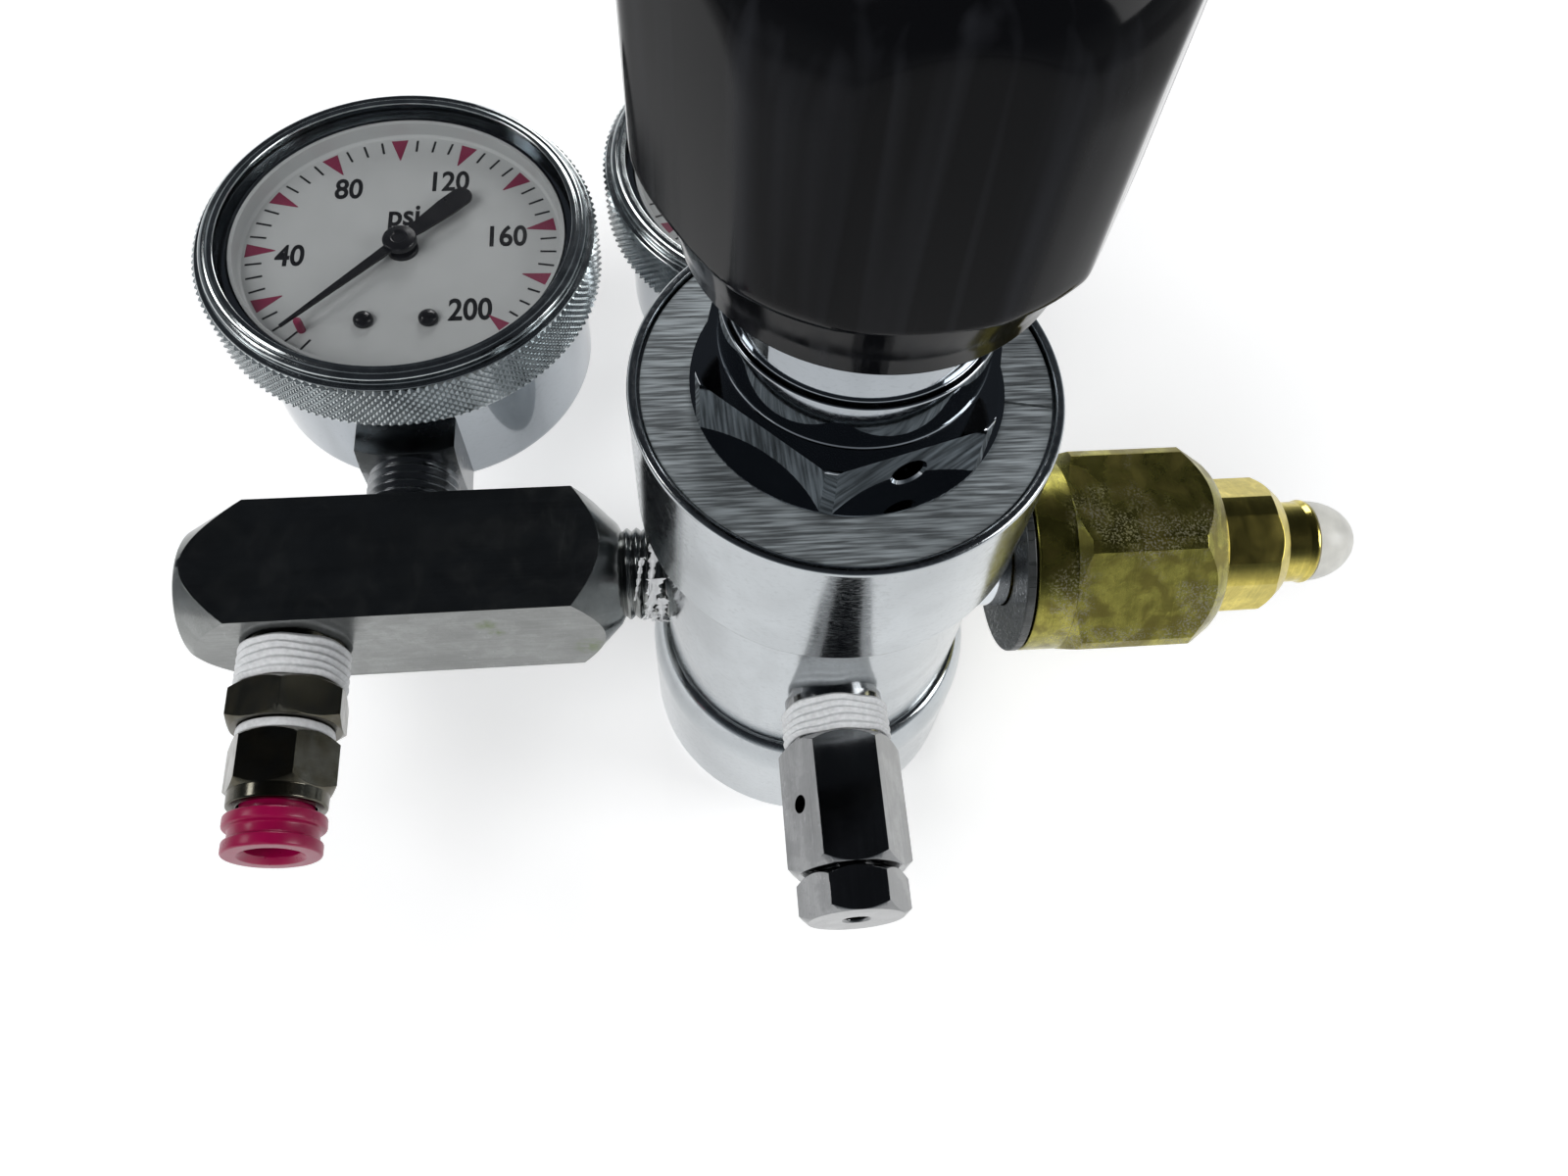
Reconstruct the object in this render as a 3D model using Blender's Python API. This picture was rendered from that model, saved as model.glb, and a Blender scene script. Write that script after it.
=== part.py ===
"""A two-gauge oxygen regulator as an assembly of separate pieces.

Frame: metres, +Z up. The origin is the centre of the base cap's underside, on the main axis.
+X points along the inlet and -Y along the relief valve and the hose outlet. All four side
ports lie at PORT_HEIGHT: inlet on +X, manifold on -X, relief valve on -Y, contents gauge on +Y.
A turned piece is drawn as (radius, height) points along its own axis and then placed.
"""
import math

import bmesh
import bpy
from mathutils import Matrix, Vector

MM = 0.001

# Clearances
SEAT = 0.3 * MM          # between two pieces that touch
FACET = 0.1 * MM         # what a facet may take off a round bore
OVERCUT = 1.0 * MM       # how far a cutter runs past the face it opens
SMALL_EDGE = 0.4 * MM    # the bevel on a lightly broken edge

# Facets round a turned piece, multiples of the flats that are milled on it
LARGE = 30
MEDIUM = 18
SMALL = 12
SQUARE = 16
KNOB_FACETS = 36

# Body and base cap
PORT_HEIGHT = 40.1 * MM
BODY_RADIUS = 22.5 * MM
BASE_STEP = 2.6 * MM            # how far the base cap stands out past the body
BASE_WALL_HEIGHT = 18.2 * MM
BASE_HEIGHT = 24.4 * MM
BASE_FLOOR = 6.7 * MM
BASE_EDGE = 0.7 * MM
SPIGOT_STEP = 2.5 * MM
COLLAR_STEP = 2.56 * MM
COLLAR_LOW = 62.2 * MM
BODY_TOP = 84.2 * MM
RIM_WIDTH = 1.15 * MM
RIM_ROUND = 0.8 * MM
LABEL_RECESS = 1.5 * MM
LABEL_THICKNESS = 0.6 * MM
LABEL_WIDTH = 5.21 * MM
LABEL_SPLIT_AZIMUTH = math.radians(-10.8)
LABEL_SPLIT_WIDTH = 0.35 * MM
BONNET_BORE_WALL = 5.9 * MM      # from the bore to the body's outside
CLAMP_WIDTH = 3.6 * MM
CLAMP_LEDGE = 66.0 * MM
CHAMBER_FLOOR = 60.0 * MM
VALVE_BORE = 6.0 * MM
NOZZLE_BORE = 4.6 * MM
NOZZLE_LENGTH = 8.0 * MM
PLUG_BORE = 7.0 * MM
PLUG_BORE_TOP = 17.0 * MM
GAS_DRILL = 1.6 * MM

# Pipe threads, drawn as plain cylinders at their mean size
PORT_BORE = 7.0 * MM
PORT_DEPTH = 10.5 * MM
THREAD_RADIUS = PORT_BORE - SEAT
THREAD_CHAMFER = 0.7 * MM

# Bonnet, a hexagon with a spring tube
BONNET_FLATS = 31.75 * MM
BONNET_ROUND_RADIUS = 18.0 * MM   # of the bar that the hexagon is milled from
BONNET_FOOT = 1.6 * MM            # height of the round foot under the flats
BONNET_HEX_HEIGHT = 8.3 * MM
BONNET_CORNER_AZIMUTH = math.radians(-105.5)
BONNET_NECK_RADIUS = 14.7 * MM
BONNET_NECK_HEIGHT = 18.7 * MM
BONNET_STEP_HEIGHT = 6.6 * MM     # from the hexagon to the step of the neck
BONNET_NECK_STEP = 0.8 * MM
BONNET_CAVITY = 12.6 * MM
BONNET_ROOF = 5.0 * MM
VENT_RADIUS = 1.75 * MM
VENT_HEIGHT = 4.3 * MM

# Adjusting knob
KNOB_RADIUS = 22.4 * MM
KNOB_FLAT_DISTANCE = 21.0 * MM
KNOB_SKIRT_RADIUS = 18.5 * MM
KNOB_SKIRT_GAP = 16.7 * MM       # from the hexagon's top to the knob's lower edge
KNOB_SKIRT_HEIGHT = 8.5 * MM
KNOB_SHOULDER_RADIUS = 20.5 * MM
KNOB_SHOULDER_HEIGHT = 2.5 * MM
KNOB_GRIP_HEIGHT = 17.0 * MM
KNOB_CROWN_HEIGHT = 11.0 * MM
KNOB_CROWN_INSET = 7.9 * MM
KNOB_TOP_RADIUS = 11.4 * MM
KNOB_FLAT_COUNT = 6
KNOB_FLAT_AZIMUTH = math.radians(-89.7)
KNOB_ROOM = 7.6 * MM              # from the bonnet's neck to the roof inside the knob
SCREW_RADIUS = 4.0 * MM
SCREW_IN_KNOB = 20.0 * MM
SCREW_CHAMFER = 1.2 * MM

# Spring train inside the bonnet
DIAPHRAGM_THICKNESS = 0.8 * MM
PLATE_RADIUS = 11.5 * MM
PLATE_THICKNESS = 2.0 * MM
SPRING_RADIUS = 9.5 * MM
SPRING_WIRE = 1.3 * MM
SPRING_TURNS = 6
BUTTON_FLANGE = 3.0 * MM
BUTTON_BOSS = 1.7 * MM
NOZZLE_HOLE = 1.6 * MM
NOZZLE_SEAT = 0.8 * MM           # height of the raised seat and of its land
NOZZLE_HEAD = 1.2 * MM
POPPET_STEM = 1.0 * MM
POPPET_HEAD = 4.0 * MM
POPPET_TAIL = 5.0 * MM
VALVE_GUIDE = 2.0 * MM
PLUG_PIN = 3.0 * MM
POPPET_SPRING_RADIUS = 3.6 * MM
POPPET_SPRING_WIRE = 0.6 * MM

# Manifold block, cut from square bar
BLOCK_WIDTH = 19.05 * MM
BLOCK_NECK_SHOWING = 6.5 * MM
BLOCK_NECK_RADIUS = 7.9 * MM
BLOCK_CONE_LENGTH = 6.2 * MM
BLOCK_END_MARGIN = 6.2 * MM      # from the outlet's axis to the bar's outer corners
BLOCK_END_LENGTH = 8.05 * MM
BLOCK_END_RADIUS = 9.0 * MM
BLOCK_BORE = 3.0 * MM
BLOCK_PORT_SPACING = 14.5 * MM
GAUGE_SIDE_GAP = 0.9 * MM        # between the two gauges' bezels, along X
BLOCK_PORT_DEPTH = 7.6 * MM

# Hose outlet
TAPE_THICKNESS = 0.6 * MM
OUTLET_TAPE_LENGTH = 6.1 * MM
BUSHING_FLATS = 14.29 * MM
BUSHING_HEX = 5.5 * MM
BUSHING_TURN = math.radians(20.0)
BUSHING_SOCKET = 5.4 * MM
OUTLET_FLATS = 12.7 * MM
OUTLET_NECK_SHOWING = 1.5 * MM
OUTLET_HEX = 7.4 * MM
OUTLET_NOSE = 1.9 * MM
OUTLET_NOSE_RADIUS = 6.25 * MM
OUTLET_HEX_TURN = math.radians(60.0)
TUBE_BORE = 3.3 * MM
TUBE_STOP_DEPTH = 0.6 * MM       # from the hexagon's inner end to where the tube stops
TUBE_GUIDE = 1.0 * MM
GRIP_THICKNESS = 0.5 * MM
BUSHING_SOCKET_DEPTH = 6.5 * MM
HEX_CHAMFER = 1.0 * MM
COLLET_SLEEVE_RADIUS = 4.6 * MM
COLLET_TRAVEL = 0.8 * MM
COLLET_FLANGE_RADIUS = 6.4 * MM
COLLET_FLANGE = 1.6 * MM
COLLET_GROOVE_RADIUS = 5.6 * MM
COLLET_GROOVE = 1.7 * MM
COLLET_LIP_RADIUS = 6.15 * MM
COLLET_LIP = 1.8 * MM

# Relief valve
RELIEF_TAPE_LENGTH = 5.2 * MM
RELIEF_FLATS = 14.29 * MM
RELIEF_HEX = 17.3 * MM
RELIEF_BORE = 4.6 * MM
RELIEF_CAP_FLATS = 12.7 * MM
RELIEF_CAP_HEX = 5.6 * MM
RELIEF_CAP_HOLE = 1.65 * MM
RELIEF_VENT_RADIUS = 1.5 * MM
RELIEF_SEAT_DEPTH = 2.4 * MM
RELIEF_CAP_SPIGOT = 4.5 * MM
RELIEF_POPPET_DISC = 2.4 * MM
RELIEF_POPPET_STEM = 1.4 * MM
RELIEF_SPRING_RADIUS = 2.9 * MM
RELIEF_SPRING_WIRE = 0.5 * MM
RELIEF_VENT_TURN = math.radians(150)

# Inlet
WASHER_STANDOFF = 4.9 * MM
WASHER_THICKNESS = 1.3 * MM
NUT_FLATS = 28.575 * MM
NUT_COLLAR_RADIUS = 14.25 * MM
NUT_COLLAR = 6.4 * MM
NUT_HEX = 16.9 * MM
NUT_CONE = 4.7 * MM
NUT_MOUTH_RADIUS = 12.5 * MM
NUT_THREAD_RADIUS = 11.3 * MM
NUT_LEDGE = 6.6 * MM
NUT_LEAD = 0.8 * MM
NUT_CORNER_TURN = math.radians(-34.0)
NUT_ROUND_RADIUS = 16.0 * MM      # of the bar that the hexagon is milled from
SHANK_RADIUS = 6.9 * MM
NIPPLE_FLATS = 18.9 * MM
NIPPLE_ROUND_RADIUS = 10.05 * MM
NIPPLE_HEX_HIDDEN = 7.0 * MM
NIPPLE_HEX_SHOWING = 11.2 * MM
NIPPLE_TURN = math.radians(-5.0)
NIPPLE_CONE_DEPTH = 1.2 * MM
NIPPLE_CONE = 2.2 * MM
TIP_OVERLAP = 5.9 * MM           # how far the tip's socket runs back into the nose
NOSE_RADIUS = 6.1 * MM
NOSE_LENGTH = 5.7 * MM
NOSE_FLARE = 0.25 * MM
TIP_LENGTH = 7.7 * MM
TIP_SPIGOT = 3.4 * MM
INLET_BORE = 3.0 * MM
TIP_BORE = 1.0 * MM
FILTER_LENGTH = 9.0 * MM

# Gauges, measured from the stem's axis and the dial's centre
GAUGE_STEM_SHOWING = 8.2 * MM
GAUGE_STEM_STEP = 4.8 * MM       # from the case to the stem's shoulder
GAUGE_STEM_FLATS = 14.3 * MM
GAUGE_THREAD_LENGTH = 15.1 * MM
GAUGE_STEM_CHAMFER = 0.9 * MM
GAUGE_STEM_INSET = 18.3 * MM      # from the case's outside to the stem's inner end
CASE_RADIUS = 25.8 * MM
CASE_WALL = 1.2 * MM
CASE_BACK = 9.0 * MM
CASE_FRONT = 19.1 * MM
CASE_ROUND = 2.5 * MM
CASE_THREAD_LENGTH = 6.0 * MM
CASE_THREAD_STEP = 0.5 * MM
CASE_SLOT_DEPTH = 3.8 * MM
BEZEL_STEP = 3.4 * MM
BEZEL_LOW = 11.3 * MM
BEZEL_BAND = 8.4 * MM
BEZEL_LIP_STEP = 2.0 * MM
BEZEL_LIP = 1.4 * MM
BEZEL_OPENING_INSET = 0.2 * MM
WINDOW_THICKNESS = 1.2 * MM
DIAL_FACE = 16.1 * MM
DIAL_THICKNESS = 0.8 * MM
DIAL_RIM = 0.5 * MM
DIAL_HOLE = 2.0 * MM
DIAL_SCREW_RADIUS = 1.45 * MM
DIAL_SCREW_SHANK = 0.8 * MM
DIAL_SCREW_DOME = 0.9 * MM
DIAL_SCREW_OFFSET = 4.6 * MM
DIAL_SCREW_INSET = 12.15 * MM
POINTER_CLEARANCE = 3.8 * MM     # from the pointer's tip to the case's outside
POINTER_TAIL = 13.8 * MM
POINTER_TAIL_START = 7.6 * MM
POINTER_TAIL_HALF = 1.75 * MM
POINTER_NECK_HALF = 1.0 * MM
POINTER_TIP_HALF = 0.25 * MM
POINTER_HUB_TOP = 1.4 * MM
POINTER_HUB = 2.4 * MM
POINTER_LIFT = 1.6 * MM
POINTER_THICKNESS = 0.6 * MM
POINTER_REST = math.radians(225.0)
STOP_PIN_RADIUS = 0.6 * MM
STOP_PIN_INSET = 6.2 * MM
STOP_PIN_HEIGHT = 2.6 * MM
STOP_PIN_GAP = 0.9 * MM          # beside the resting pointer
ARBOR_RADIUS = 0.7 * MM
PINION_RADIUS = 2.0 * MM
MOVEMENT_PLATE = 1.2 * MM
MOVEMENT_WIDTH = 20.0 * MM
MOVEMENT_CLEAR = 1.65 * MM        # from the movement to the dial screws
MOVEMENT_BACK = 7.0 * MM
TOP_PLATE_SHARE = 0.7            # the top plate's depth as a share of the lower plate's
PILLAR_RADIUS = 1.2 * MM
PILLAR_OFFSET = 7.5 * MM
BOURDON_INSET = 10.8 * MM
BOURDON_THICKNESS = 1.2 * MM
BOURDON_WIDTH = 3.0 * MM
BOURDON_GAP = 1.0 * MM           # from the stem's side to the tube's middle line
BOURDON_SWEEP = math.radians(262.0)

# Colours as (red, green, blue, metallic, roughness)
CHROME = (0.78, 0.79, 0.80, 1.0, 0.12)
BRUSHED = (0.42, 0.44, 0.46, 1.0, 0.42)
NICKEL = (0.34, 0.33, 0.31, 1.0, 0.30)
STEEL = (0.48, 0.49, 0.50, 1.0, 0.35)
BRASS = (0.60, 0.50, 0.22, 1.0, 0.34)
BLACK = (0.008, 0.008, 0.010, 0.0, 0.18)
RED = (0.42, 0.01, 0.06, 0.0, 0.35)
WHITE = (0.82, 0.82, 0.80, 0.0, 0.60)
DIAL_WHITE = (0.62, 0.64, 0.64, 0.0, 0.55)
RUBBER = (0.03, 0.03, 0.03, 0.0, 0.70)
CLEAR = (0.90, 0.93, 0.93, 0.0, 0.05)
TIP_PLASTIC = (0.72, 0.71, 0.66, 0.0, 0.35)


# Places: each turns local +Z to point away from the main axis at the height of the ports

def on_axis(height=0.0):
    """A place on the main axis, pointing up."""
    return Matrix.Translation((0.0, 0.0, height))


def toward_right():
    """Local +Z runs along +X and local +Y along +Y."""
    return on_axis(PORT_HEIGHT) @ Matrix.Rotation(math.pi / 2, 4, "Y")


def toward_left():
    """Local +Z runs along -X and local +X points up."""
    return on_axis(PORT_HEIGHT) @ Matrix.Rotation(-math.pi / 2, 4, "Y")


def toward_front(x=0.0):
    """Local +Z runs along -Y and local +Y points up."""
    return Matrix.Translation((x, 0.0, PORT_HEIGHT)) @ Matrix.Rotation(math.pi / 2, 4, "X")


# Mesh helpers

def clear_scene():
    for item in list(bpy.data.objects):
        bpy.data.objects.remove(item, do_unlink=True)


def turned(outline, sides=MEDIUM):
    """Spins (radius, height) points about Z; a ring outline closes on itself."""
    bm = bmesh.new()
    points = [bm.verts.new((radius, 0.0, height)) for radius, height in outline]
    edges = [bm.edges.new(pair) for pair in zip(points, points[1:])]
    if outline[0][0] > 0 or outline[-1][0] > 0:
        edges.append(bm.edges.new((points[-1], points[0])))
    bmesh.ops.spin(bm, geom=points + edges, cent=(0, 0, 0), axis=(0, 0, 1),
                   angle=2 * math.pi, steps=sides, use_merge=True)
    bmesh.ops.remove_doubles(bm, verts=bm.verts, dist=1e-6)
    bmesh.ops.recalc_face_normals(bm, faces=bm.faces)
    return bm


def extruded(outline, low, high):
    """A prism on a closed outline of (x, y) points."""
    bm = bmesh.new()
    base = bm.faces.new([bm.verts.new((x, y, low)) for x, y in outline])
    wall = bmesh.ops.extrude_face_region(bm, geom=[base])
    raised = [item for item in wall["geom"] if isinstance(item, bmesh.types.BMVert)]
    bmesh.ops.translate(bm, verts=raised, vec=(0, 0, high - low))
    bmesh.ops.recalc_face_normals(bm, faces=bm.faces)
    return bm


def regular(sides, flat_distance, corner_turn):
    """Corners of a regular polygon, given the distance from its centre to a side."""
    reach = flat_distance / math.cos(math.pi / sides)
    angles = [corner_turn + 2 * math.pi * k / sides for k in range(sides)]
    return [(reach * math.cos(a), reach * math.sin(a)) for a in angles]


def arc(centre, radius, start, end, steps):
    """Points of an arc in an outline, both ends included; angles in degrees."""
    angles = [math.radians(start + (end - start) * k / steps) for k in range(steps + 1)]
    return [(centre[0] + radius * math.cos(a), centre[1] + radius * math.sin(a)) for a in angles]


def coil(radius, wire, low, high, turns, steps=10, ring=5):
    """A compression spring from low to high, with its wire's ends capped."""
    bm = bmesh.new()
    count = int(turns * steps)
    rise = (high - low - 2 * wire) / count
    rings = []
    for k in range(count + 1):
        turn = 2 * math.pi * k / steps
        out = Vector((math.cos(turn), math.sin(turn), 0.0))
        middle = out * radius + Vector((0, 0, low + wire + rise * k))
        around = [2 * math.pi * j / ring for j in range(ring)]
        rings.append([bm.verts.new(middle + wire * (out * math.cos(a) + Vector((0, 0, math.sin(a)))))
                      for a in around])
    for first, second in zip(rings, rings[1:]):
        for j in range(ring):
            follow = (j + 1) % ring
            bm.faces.new((first[j], first[follow], second[follow], second[j]))
    bm.faces.new(rings[0])
    bm.faces.new(list(reversed(rings[-1])))
    bmesh.ops.recalc_face_normals(bm, faces=bm.faces)
    return bm


def finish_material(name, finish):
    red, green, blue, metallic, roughness = finish
    material = bpy.data.materials.new(name)
    material.use_nodes = True
    shader = material.node_tree.nodes["Principled BSDF"]
    shader.inputs["Base Color"].default_value = (red, green, blue, 1.0)
    shader.inputs["Metallic"].default_value = metallic
    shader.inputs["Roughness"].default_value = roughness
    if finish is CLEAR:
        shader.inputs["Transmission Weight"].default_value = 1.0
    return material


def link_mesh(name, bm, place):
    mesh = bpy.data.meshes.new(name)
    bm.to_mesh(mesh)
    bm.free()
    item = bpy.data.objects.new(name, mesh)
    bpy.context.scene.collection.objects.link(item)
    item.matrix_world = place
    return item


def solid(name, bm, finish, place):
    """One named piece, shaded smooth with its edges over 30 degrees kept sharp."""
    item = link_mesh(name, bm, place)
    item.data.materials.append(finish_material(name, finish))
    item.data.shade_smooth()
    item.data.set_sharp_from_angle(angle=math.radians(30))
    return item


def combine(target, bm, operation, place=None):
    """Adds, removes or intersects a shape in the target's own frame, or at a place of its own."""
    cutter = link_mesh(target.name + "_cutter", bm, place or target.matrix_world.copy())
    cutter.hide_render = True
    cutter.display_type = "WIRE"
    modifier = target.modifiers.new(operation.lower(), "BOOLEAN")
    modifier.operation = operation
    modifier.solver = "EXACT"
    modifier.object = cutter
    return target


def rod(radius, low, high, sides=SMALL):
    """A plain round bar along Z."""
    return turned([(0.0, low), (radius, low), (radius, high), (0.0, high)], sides)


def with_flats(name, outline, flats, turn, finish, place, sides=MEDIUM, count=6):
    """A turned piece whose widest part is milled to flats, with one corner at the turn."""
    place = place @ Matrix.Rotation(turn, 4, "Z")
    heights = [height for _, height in outline]
    bar = extruded(regular(count, flats / 2, 0.0), min(heights) - OVERCUT, max(heights) + OVERCUT)
    return combine(solid(name, turned(outline, sides), finish, place), bar, "INTERSECT")


def hex_corner(flats):
    """How far a hexagon's corner lies from its centre."""
    return flats / math.sqrt(3)


# Sizes that follow from the ones above

BASE_RADIUS = BODY_RADIUS + BASE_STEP
SPIGOT_RADIUS = BODY_RADIUS - SPIGOT_STEP
COLLAR_RADIUS = BODY_RADIUS + COLLAR_STEP
LABEL_OUTER_RADIUS = COLLAR_RADIUS - RIM_WIDTH - SEAT
LABEL_INNER_RADIUS = LABEL_OUTER_RADIUS - LABEL_WIDTH
BONNET_BORE = BODY_RADIUS - BONNET_BORE_WALL
CHAMBER_RADIUS = BONNET_BORE - CLAMP_WIDTH
CASE_THREAD_RADIUS = CASE_RADIUS + CASE_THREAD_STEP
BEZEL_RADIUS = CASE_RADIUS + BEZEL_STEP
BEZEL_LIP_RADIUS = CASE_RADIUS + BEZEL_LIP_STEP
BEZEL_OPENING = CASE_RADIUS - BEZEL_OPENING_INSET
GAUGE_REACH = CASE_RADIUS + GAUGE_STEM_STEP
DIAL_SCREW_ALONG = CASE_RADIUS - DIAL_SCREW_INSET
MOVEMENT_FRONT = DIAL_SCREW_ALONG - DIAL_SCREW_SHANK - MOVEMENT_CLEAR
POINTER_LENGTH = CASE_RADIUS - POINTER_CLEARANCE
STOP_PIN_ALONG = CASE_RADIUS - STOP_PIN_INSET
BOURDON_RADIUS = CASE_RADIUS - BOURDON_INSET
BOURDON_START = -math.acos((GAUGE_STEM_FLATS / 2 + BOURDON_GAP) / BOURDON_RADIUS)
GAUGE_X = -(2 * BEZEL_RADIUS + GAUGE_SIDE_GAP)
OUTLET_X = GAUGE_X - BLOCK_PORT_SPACING

LABEL_TOP = BODY_TOP - LABEL_RECESS + SEAT + LABEL_THICKNESS
HEX_LOW = LABEL_TOP + SEAT
HEX_TOP = HEX_LOW + BONNET_HEX_HEIGHT
NECK_TOP = HEX_TOP + BONNET_NECK_HEIGHT
CAVITY_TOP = NECK_TOP - BONNET_ROOF
DIAPHRAGM_LOW = CLAMP_LEDGE + SEAT
DIAPHRAGM_TOP = DIAPHRAGM_LOW + DIAPHRAGM_THICKNESS
SKIRT_LOW = DIAPHRAGM_TOP + SEAT
PLATE_LOW = DIAPHRAGM_TOP + SEAT
SPRING_LOW = PLATE_LOW + PLATE_THICKNESS + SEAT
BUTTON_TOP = CAVITY_TOP - OVERCUT
BUTTON_LOW = BUTTON_TOP - BUTTON_BOSS - BUTTON_FLANGE
SPRING_TOP = BUTTON_LOW - SEAT
SCREW_LOW = BUTTON_TOP + SEAT
KNOB_LOW = HEX_TOP + KNOB_SKIRT_GAP
KNOB_SHOULDER = KNOB_LOW + KNOB_SKIRT_HEIGHT
KNOB_GRIP_LOW = KNOB_SHOULDER + KNOB_SHOULDER_HEIGHT
KNOB_GRIP_TOP = KNOB_GRIP_LOW + KNOB_GRIP_HEIGHT
KNOB_TOP = KNOB_GRIP_TOP + KNOB_CROWN_HEIGHT
KNOB_HUB_ROOF = NECK_TOP + KNOB_ROOM
BODY_LOW = BASE_FLOOR + SEAT


# Body

def base_cap():
    shoulder = [(BODY_RADIUS + (BASE_RADIUS - BODY_RADIUS) * math.cos(a),
                 BASE_WALL_HEIGHT + (BASE_HEIGHT - BASE_WALL_HEIGHT) * math.sin(a))
                for a in (math.radians(30 * k) for k in range(4))]
    bore = SPIGOT_RADIUS + SEAT
    outline = [(0.0, 0.0), (BASE_RADIUS - BASE_EDGE, 0.0), (BASE_RADIUS, BASE_EDGE)]
    outline += shoulder + [(bore, BASE_HEIGHT), (bore, BASE_FLOOR), (0.0, BASE_FLOOR)]
    return solid("base_cap", turned(outline, LARGE), CHROME, on_axis())


def body():
    rim_inner = COLLAR_RADIUS - RIM_WIDTH
    recess = BODY_TOP - LABEL_RECESS
    shoulder = BASE_HEIGHT + SEAT
    outline = [(PLUG_BORE, BODY_LOW), (SPIGOT_RADIUS, BODY_LOW), (SPIGOT_RADIUS, shoulder),
               (BODY_RADIUS, shoulder), (BODY_RADIUS, COLLAR_LOW)]
    outline += arc((COLLAR_RADIUS - RIM_ROUND, COLLAR_LOW + RIM_ROUND), RIM_ROUND, -90, 0, 1)
    outline += arc((COLLAR_RADIUS - RIM_ROUND, BODY_TOP - RIM_ROUND), RIM_ROUND, 0, 90, 2)
    outline += [(rim_inner, BODY_TOP), (rim_inner, recess), (BONNET_BORE, recess),
                (BONNET_BORE, CLAMP_LEDGE), (CHAMBER_RADIUS, CLAMP_LEDGE),
                (CHAMBER_RADIUS, CHAMBER_FLOOR), (NOZZLE_BORE, CHAMBER_FLOOR),
                (NOZZLE_BORE, CHAMBER_FLOOR - NOZZLE_LENGTH),
                (VALVE_BORE, CHAMBER_FLOOR - NOZZLE_LENGTH), (VALVE_BORE, PLUG_BORE_TOP),
                (PLUG_BORE, PLUG_BORE_TOP)]
    item = solid("body", turned(outline, LARGE), CHROME, on_axis())
    bottom = BODY_RADIUS - PORT_DEPTH
    for turn in range(4):
        place = Matrix.Rotation(turn * math.pi / 2, 4, "Z") @ toward_right()
        high_pressure = turn < 2
        drill_end = 0.0 if high_pressure else bottom - OVERCUT
        port = [(0.0, drill_end), (GAS_DRILL, drill_end), (GAS_DRILL, bottom), (PORT_BORE, bottom),
                (PORT_BORE, BODY_RADIUS + OVERCUT), (0.0, BODY_RADIUS + OVERCUT)]
        combine(item, turned(port), "DIFFERENCE", place)
    for turn in (2, 3):
        along = Matrix.Rotation(turn * math.pi / 2, 4, "Z") @ Vector((bottom + FACET, 0, 0))
        riser = rod(GAS_DRILL, PORT_HEIGHT, CHAMBER_FLOOR + OVERCUT, 8)
        combine(item, riser, "DIFFERENCE", Matrix.Translation(along))
    return item


def label_ring():
    outer = LABEL_OUTER_RADIUS
    low = BODY_TOP - LABEL_RECESS + SEAT
    outline = [(LABEL_INNER_RADIUS, low), (outer, low), (outer, LABEL_TOP), (LABEL_INNER_RADIUS, LABEL_TOP)]
    item = solid("label_ring", turned(outline, LARGE), BRUSHED, on_axis())
    half = LABEL_SPLIT_WIDTH / 2
    slit = [(LABEL_INNER_RADIUS - OVERCUT, -half), (outer + OVERCUT, -half),
            (outer + OVERCUT, half), (LABEL_INNER_RADIUS - OVERCUT, half)]
    place = Matrix.Rotation(LABEL_SPLIT_AZIMUTH, 4, "Z")
    return combine(item, extruded(slit, low - OVERCUT, LABEL_TOP + OVERCUT), "DIFFERENCE", place)


# Bonnet, spring train and knob

def bonnet():
    corner = BONNET_ROUND_RADIUS
    skirt = BONNET_BORE - SEAT
    throat = BONNET_NECK_RADIUS - BONNET_NECK_STEP
    step = HEX_TOP + BONNET_STEP_HEIGHT
    outline = [(BONNET_CAVITY, SKIRT_LOW), (skirt, SKIRT_LOW), (skirt, HEX_LOW), (corner, HEX_LOW),
               (corner, HEX_TOP), (BONNET_NECK_RADIUS, HEX_TOP), (BONNET_NECK_RADIUS, step), (throat, step),
               (throat, NECK_TOP - SMALL_EDGE), (throat - SMALL_EDGE, NECK_TOP),
               (SCREW_RADIUS + SEAT, NECK_TOP), (SCREW_RADIUS + SEAT, CAVITY_TOP),
               (BONNET_CAVITY, CAVITY_TOP)]
    item = solid("bonnet", turned(outline, LARGE), CHROME, on_axis())
    flat = BONNET_FLATS / 2
    beyond = [(flat, -flat), (corner + OVERCUT, -flat), (corner + OVERCUT, flat), (flat, flat)]
    for index in range(6):
        turn = BONNET_CORNER_AZIMUTH + math.pi * (2 * index + 1) / 6
        place = Matrix.Rotation(turn, 4, "Z")
        item = combine(item, extruded(beyond, HEX_LOW + BONNET_FOOT, HEX_TOP + OVERCUT), "DIFFERENCE", place)
    flat_azimuth = BONNET_CORNER_AZIMUTH + math.pi / 6
    place = on_axis(HEX_LOW + VENT_HEIGHT) @ Matrix.Rotation(flat_azimuth, 4, "Z")
    place = place @ Matrix.Rotation(math.pi / 2, 4, "Y")
    return combine(item, rod(VENT_RADIUS, BONNET_CAVITY - OVERCUT, corner), "DIFFERENCE", place)


def diaphragm():
    outer = BONNET_BORE - SEAT
    outline = [(0.0, DIAPHRAGM_LOW), (outer, DIAPHRAGM_LOW), (outer, DIAPHRAGM_TOP), (0.0, DIAPHRAGM_TOP)]
    return solid("diaphragm", turned(outline), RUBBER, on_axis())


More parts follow.
